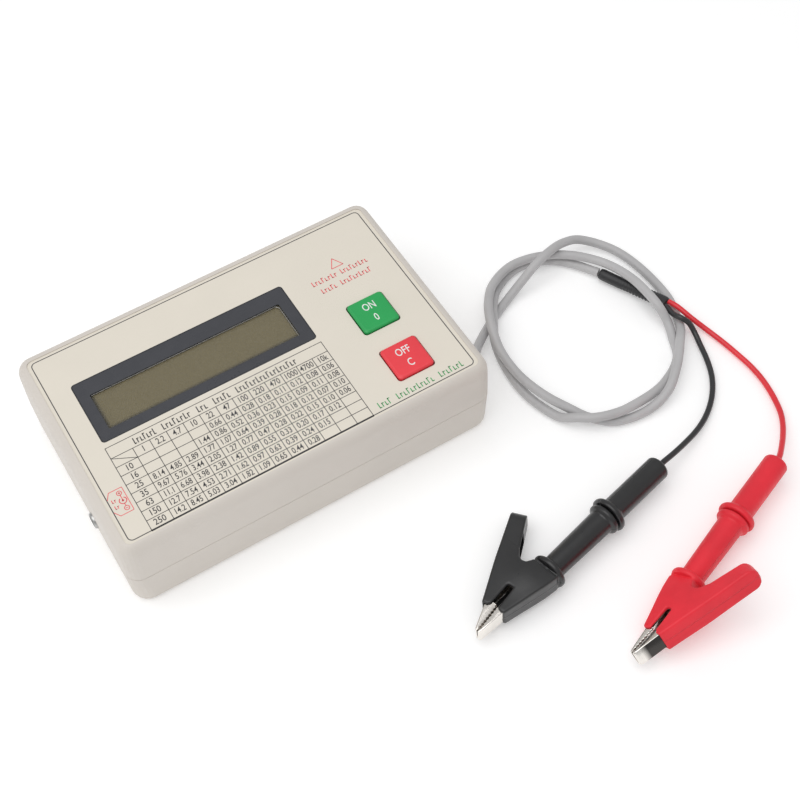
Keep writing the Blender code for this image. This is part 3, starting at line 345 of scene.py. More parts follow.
CASE = (0.665, 0.618, 0.565)
LABEL = (0.775, 0.722, 0.628)
GREEN = (0.012, 0.370, 0.088)
RED = (0.83, 0.045, 0.062)
GREY = (0.485, 0.478, 0.482)
SOOT = (0.010, 0.010, 0.011)
SCARLET = (0.80, 0.027, 0.045)
NICKEL = (0.90, 0.86, 0.81)

# Colour, roughness and gloss of the clips' rubber.
RUBBER = {"black": (SOOT, 0.33, 0.6), "red": (SCARLET, 0.42, 0.3)}
FINISH = {
    "case_grey": moulded("case_plastic", CASE, 0.48, 2200.0, 0.00005, 0.02, 35.0),
    "label_print": moulded("label_film", LABEL, 0.42, 3500.0, 0.00002, 0.015, 45.0),
    "window": clear_window(),
    "black_frame": moulded("bezel_paint", (0.105, 0.100, 0.095), 0.45),
    "lcd_olive": lcd_cell(),
    "backlight_white": moulded("light_guide", (0.75, 0.75, 0.72), 0.4),
    "board_green": circuit_board(),
    "key_green": moulded("key_green", GREEN, 0.36, 1800.0, 0.00003, 0.05, 90.0, 0.1),
    "key_red": moulded("key_red", RED, 0.36, 1800.0, 0.00003, 0.05, 90.0, 0.1),
    "black_plastic": moulded("black_plastic", SOOT, 0.42),
    "metal_bright": metal("nickel", NICKEL, 0.17, 1200.0, 0.00001, 0.10),
    "steel": metal("plain_steel", (0.52, 0.52, 0.51), 0.32),
    "coil_copper": metal("enamelled_copper", (0.6, 0.26, 0.12), 0.3),
    "cell_blue": moulded("printed_sleeve", (0.05, 0.12, 0.35), 0.3),
    "cable_grey": moulded("cable_pvc", GREY, 0.46, 1500.0, 0.00005, 0.07, 55.0, 0.08),
    "sleeve_black": moulded("shrink_sleeve", (0.024, 0.024, 0.026), 0.44, 1200.0, 0.00006, 0.12),
    "lead_black": moulded("lead_pvc_black", (0.022, 0.022, 0.024), 0.34, 1500.0, 0.00003, 0.1, 60.0, 0.2),
    "lead_red": moulded("lead_pvc_red", (0.76, 0.022, 0.035), 0.34, 1500.0, 0.00003, 0.08, 60.0, 0.2),
    "clip_black": moulded("clip_rubber_black", SOOT, 0.40, 2000.0, 0.00004, 0.1),
    "clip_red": moulded("clip_rubber_red", SCARLET, 0.40, 2000.0, 0.00004, 0.06),
}
INK_DARK = printed("ink_dark", (0.055, 0.053, 0.056))
INK_RED = printed("ink_red", (0.80, 0.10, 0.12))
INK_GREEN = printed("ink_green", (0.06, 0.36, 0.12))
INK_WHITE = printed("ink_white", (0.80, 0.82, 0.80))


# Edges sharper than these angles in degrees stay hard.
CAD_SHARP = 32
PART_SHARP = 35
PRINT_SHARP = 30
SKIN_SHARP = 40
TURNED_SHARP = 50
SLEEVING_SHARP = 60


def dress_cad():
    """Give every CAD node the finish of its record slot, and smooth its round faces."""
    slots = {part["node"]: part["material_slot"] for part in frame["record"]["subparts"]}
    for name, node in NODES.items():
        node.data.materials.clear()
        node.data.materials.append(FINISH[slots[name]])
        node.data.shade_smooth()
        node.data.set_sharp_from_angle(angle=math.radians(CAD_SHARP))


dress_cad()

# ---------------- mesh helpers


def link(name, data, finish):
    made = bpy.data.objects.new(name, data)
    bpy.context.scene.collection.objects.link(made)
    made.data.materials.append(finish)
    return made


def from_bmesh(name, bm, finish, sharp=PART_SHARP):
    bmesh.ops.recalc_face_normals(bm, faces=bm.faces)
    mesh = bpy.data.meshes.new(name)
    bm.to_mesh(mesh)
    bm.free()
    made = link(name, mesh, finish)
    mesh.shade_smooth()
    mesh.set_sharp_from_angle(angle=math.radians(sharp))
    return made


def extruded(outline, low, high):
    """A bmesh of an outline in mm, made into a block between two heights in metres."""
    bm = bmesh.new()
    face = bm.faces.new([bm.verts.new((x * MM, y * MM, low)) for x, y in outline])
    grown = bmesh.ops.extrude_face_region(bm, geom=[face])
    top = [v for v in grown["geom"] if isinstance(v, bmesh.types.BMVert)]
    bmesh.ops.translate(bm, vec=(0, 0, high - low), verts=top)
    return bm


def bridge(bm, first, second):
    """Join two closed rows of vertices by a band of faces."""
    count = len(first)
    for k in range(count):
        nxt = (k + 1) % count
        bm.faces.new((first[k], first[nxt], second[nxt], second[k]))


def arc(x, y, radius, start, sweep, steps):
    """Points of an arc in mm, from a start angle through a sweep in degrees."""
    angles = [math.radians(start + sweep * k / steps) for k in range(steps + 1)]
    return [(x + radius * math.cos(angle), y + radius * math.sin(angle)) for angle in angles]


def applied(made):
    """A copy of an object's mesh with all modifiers applied."""
    bpy.context.view_layer.update()
    graph = bpy.context.evaluated_depsgraph_get()
    return bpy.data.meshes.new_from_object(made.evaluated_get(graph))


def bake(made, sharp=None):
    """Replace an object's mesh by its mesh with all modifiers applied."""
    mesh = applied(made)
    made.modifiers.clear()
    made.data = mesh
    if sharp:
        mesh.shade_smooth()
        mesh.set_sharp_from_angle(angle=math.radians(sharp))
    return made


def drop(*objects):
    for item in objects:
        bpy.data.objects.remove(item, do_unlink=True)


def stand_in(piece, body, slot, *nodes):
    """Say which body a piece rides on and which CAD nodes it replaces; the slot argument is not used."""
    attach(piece, body)
    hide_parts(*nodes)


def catmull(p, t, share):
    """The point a share of the way from p[1] to p[2], with knot times t."""
    u = t[1] + (t[2] - t[1]) * share
    a = [p[k].lerp(p[k + 1], (u - t[k]) / (t[k + 1] - t[k])) for k in range(3)]
    b = [a[k].lerp(a[k + 1], (u - t[k]) / (t[k + 2] - t[k])) for k in range(2)]
    return b[0].lerp(b[1], (u - t[1]) / (t[2] - t[1]))


CORD_PARTS = 8


def smooth_line(route, parts=CORD_PARTS):
    """A centripetal Catmull-Rom curve through a route in mm, in metres."""
    knots = [Vector(point) * MM for point in route]
    knots = [2 * knots[0] - knots[1]] + knots + [2 * knots[-1] - knots[-2]]
    times = [0.0]
    for first, second in zip(knots, knots[1:]):
        times.append(times[-1] + math.sqrt((second - first).length))
    dense = []
    for i in range(1, len(knots) - 2):
        for part in range(parts):
            dense.append(catmull(knots[i - 1:i + 3], times[i - 1:i + 3], part / parts))
    return dense + [knots[-2]]


# A cord lies at least this far off the floor, in metres.
LIFT = 0.00005


def cord_curve(name, points, radius, finish):
    curve = bpy.data.curves.new(name, "CURVE")
    curve.dimensions = "3D"
    curve.bevel_depth = radius
    curve.bevel_resolution = 6
    curve.use_fill_caps = True
    spline = curve.splines.new("POLY")
    spline.points.add(len(points) - 1)
    for target, source in zip(spline.points, points):
        target.co = (source.x, source.y, max(source.z, radius + LIFT), 1.0)
    return link(name, curve, finish)


# ---------------- cords

# Shrunk sleeving over the splitter: sizes in mm, and places as shares of its length.
SLEEVING_R = 1.98
# What flattening adds to its half width and to its half height.
SLEEVING_FLATTENS = (0.52, -0.48)
FLAT_FROM = 0.35
RIBS = 22
RIB_HIGH = 0.17
RIBS_AT = 0.6
RIBS_REACH = 0.35
LIP_DEEP = (0.22, 0.25)
LIP_LONG = 0.03
SLEEVING_PARTS = 28
ROUND_SIDES = 48


def splitter_skin():
    """Shrunk sleeving: round and smooth over the cable, then flat, ribbed and puckered over the leads."""
    line = smooth_line(SPLITTER_ROUTE, SLEEVING_PARTS)
    sides = ROUND_SIDES
    last = len(line) - 1
    bm = bmesh.new()
    rows = []
    for k, point in enumerate(line):
        ahead = (line[min(k + 1, last)] - line[max(k - 1, 0)]).normalized()
        across = ahead.cross(Vector((0, 0, 1))).normalized()
        above = across.cross(ahead).normalized()
        share = k / last
        ribbed = max(0.0, 1 - abs(share - RIBS_AT) / RIBS_REACH)
        flat = max(0.0, share - FLAT_FROM) / (1 - FLAT_FROM)
        flat = flat * flat * (3 - 2 * flat)
        rib = RIB_HIGH * ribbed * math.sin(2 * math.pi * share * RIBS)
        start_lip = LIP_DEEP[0] * max(0.0, 1 - share / LIP_LONG)
        end_lip = LIP_DEEP[1] * max(0.0, (share - 1 + LIP_LONG) / LIP_LONG)
        wide, high = (SLEEVING_R + change * flat + rib - start_lip - end_lip for change in SLEEVING_FLATTENS)
        row = []
        for side in range(sides):
            angle = 2 * math.pi * side / sides
            pinch = 1 - 0.16 * flat * math.sin(angle) ** 2
            pucker = 1 + 0.025 * flat * math.sin(5 * angle + 9 * share)
            offset = across * wide * math.cos(angle) + above * high * pinch * math.sin(angle)
            row.append(bm.verts.new(point + offset * pucker * MM))
        rows.append(row)
    for lower, upper in zip(rows, rows[1:]):
        bridge(bm, lower, upper)
    bm.faces.new(rows[0])
    bm.faces.new(rows[-1])
    skin = from_bmesh("splitter_skin", bm, FINISH["sleeve_black"], SLEEVING_SHARP)
    stand_in(skin, "meter", "sleeve_black", "splitter_sleeve")
    return skin


def cords():
    skin = splitter_skin()
    line = smooth_line(CABLE_ROUTE)
    cable = cord_curve("cable", line, CABLE_R, FINISH["cable_grey"])
    stand_in(cable, "meter", "cable_grey", "test_cable")
    for colour, route, length in (("red", RED_ROUTE, 0.084), ("black", BLACK_ROUTE, 0.080)):
        line = smooth_line(route)
        lead = cord_curve(f"{colour}_wire", line, LEAD_R, FINISH[f"lead_{colour}"])
        stand_in(lead, "meter", f"lead_{colour}", f"{colour}_lead")


cords()

# ---------------- clips, in mm in their own frame

CLIPS = {
    "black": {"origin": (72.15, -91.15, 6.0), "yaw": -166.3, "pitch": 0.0, "roll": -5.5, "side": -1},
    "red": {"origin": (104.1, -112.6, 6.5), "yaw": -159.3, "pitch": -1.5, "roll": 38.0, "side": 1},
}
BARREL_PROFILE = [
    (0, -24.1), (3.1, -24.1), (3.65, -23.8), (3.95, -23.2), (3.95, -22.0), (3.95, -2.2),
    (4.5, -1.5), (5.6, -1.0), (5.95, -0.4), (5.95, 0.5), (5.5, 0.9), (0, 0.9),
]
SLEEVE_PROFILE = [
    (0, 1.3), (4.9, 1.3), (5.3, 1.7), (5.3, 2.7), (4.8, 3.2), (4.15, 3.6), (3.7, 25.6),
    (4.4, 25.9), (5.5, 26.1), (5.8, 26.6), (5.8, 27.3), (5.5, 27.8), (0, 28.0),
]
SKIN_OUTLINE = [
    (27.6, -4.4), (28.8, -4.6), (33.0, -4.0), (47.5, -1.0), (47.9, 0.2), (47.5, 1.7), (40.2, 2.6),
    (39.7, 2.8), (39.8, 4.4), (40.3, 4.6), (47.7, 4.1), (48.8, 4.8), (49.1, 6.6), (36.0, 13.7),
    (21.3, 21.0), (19.9, 21.5), (19.1, 21.2), (17.4, 18.1), (17.5, 17.4), (18.2, 16.8), (28.6, 10.4),
    (30.5, 8.7), (31.0, 7.2), (30.6, 5.9), (29.4, 5.2), (27.6, 4.6),
]
LEVER_RUN = Vector((-0.894, 0.448, 0.0)).normalized()
LEVER_TIP = Vector((18.2, 19.7, 0.0))
LIMIT_REACH = 60.0
BULGE_AT = (33.5, 3.0)
BULGE_REACH = 5.0
BULGE_HIGH = 0.8
BULGE_FROM_X = 28.6
FLANK = 0.5
LOWER_CAVITY = [
    (28.0, -3.4), (33.0, -3.3), (48.6, -0.2), (48.6, 3.0), (44.0, 6.0), (32.5, 6.0), (28.0, 3.4),
]
UPPER_CAVITY = [
    (33.4, 3.4), (41.0, 3.0), (50.2, 2.6), (50.6, 5.3), (36.0, 12.8), (21.4, 19.7), (20.2, 16.2),
    (31.0, 7.4),
]
COVER_HALF = 3.6
CAVITY_HALF = 3.0
SLEEVE_BORE_R = 3.1
LEAD_BORE_R = 1.3
PIN_BORE_R = 2.35
BARREL_SEAM = math.radians(60)
COVER_ROUND = 0.6
JAW_ROUND = 0.42
ROUND_STEPS = 3
BORE_SIDES = 32
LIMIT_STEPS = 14
SAME_HEIGHT = 1e-7
VOXEL = 0.24
SOFTEN_TIMES = 2
BARREL_ROUND = 0.25
BARREL_EDGE = 15
PIN_BORE = (-7.7, 2.0)
LEAD_BORE = (-25.0, -18.5)
SLEEVE_BORE = (0.0, 30.0)


def clip_matrix(place):
    yaw, pitch, roll = (math.radians(place[key]) for key in ("yaw", "pitch", "roll"))
    ahead = Vector((math.cos(yaw) * math.cos(pitch), math.sin(yaw) * math.cos(pitch), math.sin(pitch)))
    level = Vector((0, 0, 1)).cross(ahead).normalized() * place["side"]
    above = ahead.cross(level) * place["side"]
    lever = level * math.cos(roll) + above * math.sin(roll)
    through = ahead.cross(lever)
    matrix = Matrix((ahead, lever, through)).transposed().to_4x4()
    matrix.translation = Vector(place["origin"]) * MM
    return matrix


def slab(name, outline, half, finish, edge=0.0):
    """An outline extruded through the clip's thickness, with rounded rims."""
    bm = extruded(outline, -half * MM, half * MM)
    if edge:
        rims = [e for e in bm.edges if abs(e.verts[0].co.z - e.verts[1].co.z) < SAME_HEIGHT]
        bmesh.ops.bevel(
            bm, geom=rims, offset=edge * MM, segments=ROUND_STEPS, affect="EDGES", profile=0.5,
            clamp_overlap=True)
    return from_bmesh(name, bm, finish)


def turned(name, profile, finish, sides=ROUND_SIDES):
    """A solid turned about the X axis from (radius, x) points."""
    bm = bmesh.new()
    rows = []
    for radius, x in profile:
        if radius == 0:
            rows.append([bm.verts.new((x * MM, 0, 0))])
            continue
        row = []
        for k in range(sides):
            angle = 2 * math.pi * k / sides
            row.append(bm.verts.new((x * MM, radius * MM * math.cos(angle), radius * MM * math.sin(angle))))
        rows.append(row)
    for first, second in zip(rows, rows[1:]):
        if len(first) == len(second):
            bridge(bm, first, second)
            continue
        for k in range(sides):
            nxt = (k + 1) % sides
            if len(first) == 1:
                bm.faces.new((first[0], second[k], second[nxt]))
            else:
                bm.faces.new((first[k], first[nxt], second[0]))
    return from_bmesh(name, bm, finish, TURNED_SHARP)


def boolean(target, cutter, operation="DIFFERENCE"):
    step = target.modifiers.new("boolean", "BOOLEAN")
    step.operation = operation
    step.solver = "EXACT"
    step.object = cutter


def bore(name, radius, start, end, finish):
    return turned(name, [(0, start), (radius, start), (radius, end), (0, end)], finish, BORE_SIDES)


def lever_limit(finish):
    """A block, round at one end, that rounds off the lever's tip seen from above its outer face."""
    half = COVER_HALF
    across = Vector((-LEVER_RUN.y, LEVER_RUN.x, 0))
    outline = [(-LIMIT_REACH, -half - 1), (-half, -half - 1)]
    outline += arc(-half, 0.0, half, -90, 180, LIMIT_STEPS)
    outline += [(-half, half + 1), (-LIMIT_REACH, half + 1)]
    bm = bmesh.new()
    rows = []
    for side in (-LIMIT_REACH, LIMIT_REACH):
        row = []
        for along, up in outline:
            point = LEVER_TIP + LEVER_RUN * along + across * side
            row.append(bm.verts.new(Vector((point.x, point.y, up)) * MM))
        rows.append(row)
    bridge(bm, *rows)
    for row in rows:
        bm.faces.new(row)
    return from_bmesh("lever_limit", bm, finish)


def bulge(skin):
    """Swell both side faces a little round the pivot."""
    for vertex in skin.data.vertices:
        x, y, z = vertex.co / MM
        if abs(z) < COVER_HALF - FLANK or x < BULGE_FROM_X:
            continue
        away = (x - BULGE_AT[0]) ** 2 + (y - BULGE_AT[1]) ** 2
        vertex.co.z += math.copysign(BULGE_HIGH * math.exp(-away / (2 * BULGE_REACH ** 2)), z) * MM


def clip_skin(colour, matrix):
    """Sleeve, body and lever cover as one soft moulding, with a bend in its shape where the lever meets the
    body.
    """
    finish = seamed(f"clip_skin_{colour}", *RUBBER[colour], matrix.to_3x3().col[2], matrix.translation)
    skin = turned(f"{colour}_clip_skin", SLEEVE_PROFILE, finish)
    body = slab("body", SKIN_OUTLINE, COVER_HALF, finish, COVER_ROUND)
    limit = lever_limit(finish)
    boolean(body, limit, "INTERSECT")
    bake(body)
    boolean(skin, body, "UNION")
    bake(skin)
    drop(body, limit)
    remesh = skin.modifiers.new("remesh", "REMESH")
    remesh.mode = "VOXEL"
    remesh.voxel_size = VOXEL * MM
    soften = skin.modifiers.new("soften", "SMOOTH")
    soften.factor = 0.5
    soften.iterations = SOFTEN_TIMES
    bake(skin)
    bulge(skin)
    cutters = [
        slab("lower_cavity", LOWER_CAVITY, CAVITY_HALF, finish),
        slab("upper_cavity", UPPER_CAVITY, CAVITY_HALF, finish),
        bore("sleeve_bore", SLEEVE_BORE_R, *SLEEVE_BORE, finish),
    ]
    for cutter in cutters:
        boolean(skin, cutter)
        bake(skin)
    bake(skin, SKIN_SHARP)
    drop(*cutters)
    skin.data.materials.clear()
    skin.data.materials.append(finish)
    skin.matrix_world = matrix
    bpy.context.view_layer.update()
    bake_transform(skin)
    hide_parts(f"{colour}_clip_boot", f"{colour}_lever_cover")


def plug_barrel(colour, matrix):
    through = Vector((0, math.sin(BARREL_SEAM), math.cos(BARREL_SEAM)))
    finish = seamed(f"plug_barrel_{colour}", *RUBBER[colour], through, Vector((0, 0, 0)))
    barrel = turned(f"{colour}_barrel_skin", BARREL_PROFILE, finish)
    round_off = barrel.modifiers.new("round", "BEVEL")
    round_off.width = BARREL_ROUND * MM
    round_off.segments = ROUND_STEPS
    round_off.limit_method = "ANGLE"
    round_off.angle_limit = math.radians(BARREL_EDGE)
    cutters = [
        bore("front_bore", PIN_BORE_R, *PIN_BORE, finish),
        bore("lead_bore", LEAD_BORE_R, *LEAD_BORE, finish),
    ]
    for cutter in cutters:
        boolean(barrel, cutter)
    bake(barrel, SKIN_SHARP)
    drop(*cutters)
    barrel.matrix_world = matrix
    stand_in(barrel, "meter", f"clip_{colour}", f"{colour}_plug_barrel")


FIXED_JAW = [
    (28.4, -2.6), (33.0, -2.8), (48.0, -0.3), (55.4, 0.1), (56.5, 0.3), (56.9, 0.7), (56.9, 0.95),
]
FIXED_JAW_BACK = [(41.0, 3.0), (39.0, 5.6), (36.0, 6.3), (33.4, 5.6), (31.5, 2.9), (28.4, 2.6)]
MOVING_JAW = [(34.2, 2.9), (36.0, 2.6), (38.4, 3.2), (41.5, 3.7), (45.0, 3.0)]
MOVING_JAW_BACK = [
    (56.9, 1.3), (56.9, 1.8), (56.3, 2.4), (49.4, 5.5), (36.0, 12.0), (22.0, 18.7), (21.2, 16.7),
    (32.0, 10.0), (34.2, 6.4),
]
JAW_HALF = 2.7
JAW_WALL = 0.5
NARROW_HALF = 1.9
NARROW_TO = 46.0
STRIP_HALF = 1.0
SOCKET_R = 2.8
SOCKET_ENDS = (1.8, 29.2)
SOCKET_BORE = (0.0, 28.0)
EYE_R = 1.2
EYE_LONG = 10
PIVOT = (36.0, 4.4)
TEETH = 8
TOOTH_DEEP = 0.24
# Where a tooth's tip lies, as a share of its pitch.
TOOTH_PEAK = 0.55
SLOT_BACK = [(37.9, 1.9), (46.9, 1.6), (46.9, 5.2), (37.9, 5.2)]


def teeth(first, last, count, side):
    """Points of a toothed edge from one point to another, the teeth reaching to one side."""
    points = []
    run = last[0] - first[0]
    rise = last[1] - first[1]
    for k in range(count):
        share = k / count
        x = first[0] + run * share
        y = first[1] + rise * share
        points.append((x, y))
        points.append((x + run / count * TOOTH_PEAK, y + side * TOOTH_DEEP))
    return points + [last]


def carve(target, cutters):
    """Cut a jaw's solids out of it."""
    for cutter in cutters:
        boolean(target, cutter)
    bake(target, PART_SHARP)
    drop(*cutters)


def fixed_jaw(colour, matrix):
    """A folded strip with soft outer bends and the socket for the plug's pin."""
    finish = FINISH["metal_bright"]
    mouth = teeth((55.9, 1.05), (46.5, 2.35), TEETH, -1)
    outline = FIXED_JAW + mouth + FIXED_JAW_BACK
    inside = [
        (27.5, -1.9), (33.0, -2.2), (48.0, 0.3), (56.2, 0.7), (56.2, 3.0), (41.0, 8.0), (31.0, 8.0),
        (27.5, 4.6),
    ]
    jaw = slab(f"{colour}_lower_nose", outline, JAW_HALF, finish, JAW_ROUND)
    hollow = slab("hollow", inside, JAW_HALF - JAW_WALL, finish)
    socket = bore("socket", SOCKET_R, *SOCKET_ENDS, finish)
    boolean(jaw, hollow)
    boolean(jaw, socket, "UNION")
    carve(jaw, [bore("way", PIN_BORE_R, *SOCKET_BORE, finish), pin_hole("eye", finish), slot_back(finish)])
    drop(hollow, socket)
    jaw.matrix_world = matrix
    stand_in(jaw, f"{colour}_clip", "metal_bright", f"{colour}_fixed_jaw")


def pin_hole(name, finish):
    bm = bmesh.new()
    bmesh.ops.create_cone(
        bm, cap_ends=True, segments=BORE_SIDES, radius1=EYE_R * MM, radius2=EYE_R * MM, depth=EYE_LONG * MM)
    bmesh.ops.translate(bm, vec=(PIVOT[0] * MM, PIVOT[1] * MM, 0), verts=bm.verts)
    return from_bmesh(name, bm, finish)


def slot_back(finish):
    """The gap behind the teeth, through both walls of a jaw."""
    return slab("slot_back", SLOT_BACK, JAW_HALF + 1.0, finish)


def moving_jaw(colour, matrix):
    """A channel like the fixed jaw's, narrower where it runs back into the lever."""
    # This finish carries a painted dark reflection on the jaw's outer face, back from the tip.
    finish = metal(f"nickel_{colour}_jaw", NICKEL, 0.17, 1200.0, 0.00001, 0.10, 0.95)
    mouth = teeth((46.5, 2.62), (55.9, 1.27), TEETH, 1)
    outline = MOVING_JAW + mouth + MOVING_JAW_BACK
    inside = [
        (33.0, 0.6), (46.0, 1.0), (56.2, 0.0), (56.2, 1.7), (49.0, 5.0), (36.0, 11.3), (22.2, 17.9),
        (20.0, 15.0), (31.0, 8.8),
    ]
    jaw = slab(f"{colour}_upper_nose", outline, JAW_HALF, finish, JAW_ROUND)
    front = [(47.0, 1.0), (56.2, 0.0), (56.2, 1.7), (49.0, 5.0), (47.0, 6.0)]
    cutters = [
        slab("hollow", inside, NARROW_HALF - JAW_WALL, finish),
        slab("hollow_front", front, JAW_HALF - JAW_WALL, finish),
        pin_hole("eye", finish),
    ]
    rear = [(0.0, -20.0), (NARROW_TO, -20.0), (NARROW_TO, 40.0), (0.0, 40.0)]
    for side in (-1, 1):
        strip = slab("strip", rear, STRIP_HALF, finish)
        strip.location.z = side * (NARROW_HALF + STRIP_HALF) * MM
        cutters.append(strip)
    cutters.append(slot_back(finish))
    carve(jaw, cutters)
    jaw.matrix_world = matrix
    stand_in(jaw, f"{colour}_clip_lever", "metal_bright", f"{colour}_moving_jaw")


def clips():
    for colour, place in CLIPS.items():
        matrix = clip_matrix(place)
        clip_skin(colour, matrix)
        plug_barrel(colour, matrix)
        fixed_jaw(colour, matrix)
        moving_jaw(colour, matrix)


clips()

# ---------------- label print: sizes in mm, and shares

BORDER_BOX = (-58.5, -37.0, 58.5, 36.1)
BORDER_R = 1.7
TABLE_LEFT = -51.35
TABLE_TOP = -4.5
TITLE_HIGH = 4.15
HEAD_HIGH = 3.65
ROW_HIGH = 3.49
FIRST_WIDE = 7.1
COLUMN_WIDE = 5.54
COLUMNS = 12
ROWS = 7
FOOT_GAP = 0.35
LINE = 0.22
BORDER = 0.30
LETTER_PITCH = 1.15
SHORT_LETTER = 0.72
LETTER_FOOT = 0.7
CAP_SHARE = 0.70
TEXT_WEIGHT = 0.03
# Height and squeeze of the text in the table's head, its first column and its cells.
HEAD_TEXT = (2.2, 0.72)
ROW_TEXT = (2.15, 0.82)
CELL_TEXT = (2.1, 0.72)
TRIANGLE_AT = (41.5, 20.6)
INLET_SIGNS_X = -54.2
FILM_GROWS = 0.31
FILM_R = 2.2
CUT_R = 1.2
WINDOW_GAP = 0.05
PARTING_INSET = 0.08
PARTING_R = 4.8
PARTING_WIDE = 0.7
PARTING_DEEP = 0.26
KEY_HALF = 6.25
KEY_GAP = 0.35


def bar(bm, x0, y0, x1, y1, low=PRINT_LOW, high=PRINT_HIGH):
    """A flat block between two corners given in mm."""
    made = bmesh.ops.create_cube(bm, size=1.0)["verts"]
    size = Vector(((x1 - x0) * MM, (y1 - y0) * MM, high - low))
    bmesh.ops.scale(bm, vec=size, verts=made)
    bmesh.ops.translate(bm, vec=((x0 + x1) / 2 * MM, (y0 + y1) / 2 * MM, (low + high) / 2), verts=made)
    return made


def stroke(bm, start, end, width, low=PRINT_LOW, high=PRINT_HIGH):
    """A straight line of ink between two points in mm."""
    first = Vector((*start, 0)) * MM
    second = Vector((*end, 0)) * MM
    run = second - first
    made = bmesh.ops.create_cube(bm, size=1.0)["verts"]
    bmesh.ops.scale(bm, vec=(run.length, width * MM, high - low), verts=made)
    turn = Matrix.Rotation(math.atan2(run.y, run.x), 3, "Z")
    bmesh.ops.rotate(bm, matrix=turn, verts=made, cent=(0, 0, 0))
    bmesh.ops.translate(bm, vec=(first + second) / 2 + Vector((0, 0, (low + high) / 2)), verts=made)


def ring_line(bm, centre, radius, width, steps=20, start=0.0, sweep=360.0):
    points = arc(*centre, radius, start, sweep, steps)
    for first, second in zip(points, points[1:]):
        stroke(bm, first, second, width)


def on_meter(made, body="meter"):
    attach(made, body)
    return made


def rounded_outline(x0, y0, x1, y1, radius, steps=8):
    corners = [(x1 - radius, y1 - radius, 0), (x0 + radius, y1 - radius, 90),
               (x0 + radius, y0 + radius, 180), (x1 - radius, y0 + radius, 270)]
    points = []
    for x, y, start in corners:
        points += arc(x, y, radius, start, 90, steps)
    return points


def outline_of(low, high, inset_x, inset_y, radius):
    """A rounded rectangle in mm inside a box given in metres."""
    return rounded_outline(
        low.x / MM + inset_x, low.y / MM + inset_y, high.x / MM - inset_x, high.y / MM - inset_y, radius)


def frame_line(name, finish, outer, inner, low, high):
    """A closed band between two outlines of equal point count, in mm."""
    bm = bmesh.new()
    rows = []
    for outline, z in ((outer, low), (outer, high), (inner, high), (inner, low)):
        rows.append([bm.verts.new((x * MM, y * MM, z)) for x, y in outline])
    for first, second in zip(rows, rows[1:] + rows[:1]):
        bridge(bm, first, second)
    return from_bmesh(name, bm, finish)


def label_border():
    left, bottom, right, top = BORDER_BOX
    outer = rounded_outline(left, bottom, right, top, BORDER_R)
    inner = rounded_outline(left + BORDER, bottom + BORDER, right - BORDER, top - BORDER, BORDER_R - BORDER)
    on_meter(frame_line("label_border", INK_DARK, outer, inner, PRINT_LOW, PRINT_HIGH))


def table_grid():
    bm = bmesh.new()
    right = TABLE_LEFT + FIRST_WIDE + COLUMNS * COLUMN_WIDE
    head = TABLE_TOP - TITLE_HIGH
    body = head - HEAD_HIGH
    bottom = body - ROWS * ROW_HIGH
    half = LINE / 2
    levels = [TABLE_TOP, head, body] + [body - ROW_HIGH * (k + 1) for k in range(ROWS)]
    for y in levels + [bottom - FOOT_GAP]:
        bar(bm, TABLE_LEFT - half, y - half, right + half, y + half)
    for x in (TABLE_LEFT, right):
        bar(bm, x - half, bottom - FOOT_GAP, x + half, TABLE_TOP)
    for k in range(COLUMNS):
        x = TABLE_LEFT + FIRST_WIDE + k * COLUMN_WIDE
        bar(bm, x - half, bottom, x + half, head)
    stroke(bm, (TABLE_LEFT, head), (TABLE_LEFT + FIRST_WIDE, body), LINE)
    return bm


def text_mesh(text, x, y, height, squeeze, low=PRINT_LOW, high=PRINT_HIGH):
    """A flat solid of centred text in the built-in font."""
    curve = bpy.data.curves.new("text", "FONT")
    curve.body = text
    curve.size = height / CAP_SHARE * MM
    curve.align_x = "CENTER"
    curve.align_y = "CENTER"
    curve.resolution_u = 3
    curve.offset = TEXT_WEIGHT * MM
    curve.extrude = (high - low) / 2
    made = bpy.data.objects.new("text", curve)
    bpy.context.scene.collection.objects.link(made)
    made.location = (x * MM, y * MM, (low + high) / 2)
    made.scale.x = squeeze
    mesh = applied(made)
    mesh.transform(made.matrix_world)
    drop(made)
    return mesh


def gather(bm, meshes):
    for mesh in meshes:
        bm.from_mesh(mesh)
        bpy.data.meshes.remove(mesh)


def reading(row, column):
    """A made-up value that falls along a row and grows down a column, as text."""
    trend = 9.6 * math.exp(-0.52 * column) * (1 + 0.30 * row) / 1.9
    ripple = 0.013 * ((row * 5 + column * 3) % 4)
    value = trend + 0.03 + ripple
    return f"{value:.1f}" if value >= 10 else f"{value:.2f}"


def table_numbers():
    head = TABLE_TOP - TITLE_HIGH
    body = head - HEAD_HIGH
    columns = ["1", "2.2", "4.7", "10", "22", "47", "100", "220", "470", "1000", "4700", "10k"]
    rows = ["10", "16", "25", "35", "63", "150", "250"]
    blank_start = [4, 3, 0, 0, 0, 0, 0]
    blank_end = [0, 0, 0, 0, 1, 2, 3]
    meshes = []
    for k, text in enumerate(columns):
        x = TABLE_LEFT + FIRST_WIDE + (k + 0.5) * COLUMN_WIDE
        meshes.append(text_mesh(text, x, head - HEAD_HIGH / 2, *HEAD_TEXT))
    for r, text in enumerate(rows):
        y = body - (r + 0.5) * ROW_HIGH
        meshes.append(text_mesh(text, TABLE_LEFT + FIRST_WIDE / 2, y, *ROW_TEXT))
        for c in range(blank_start[r], COLUMNS - blank_end[r]):
            x = TABLE_LEFT + FIRST_WIDE + (c + 0.5) * COLUMN_WIDE
            meshes.append(text_mesh(reading(r, c), x, y, *CELL_TEXT))
    return meshes


def table():
    bm = table_grid()
    gather(bm, table_numbers())
    title_y = TABLE_TOP - TITLE_HIGH / 2
    word_bars(bm, -43.0, 12.5, title_y, 2.4, [7.5, 9.6, 3.6, 5.7, 21.0], 0.34)
    on_meter(from_bmesh("label_table", bm, INK_DARK, PRINT_SHARP))


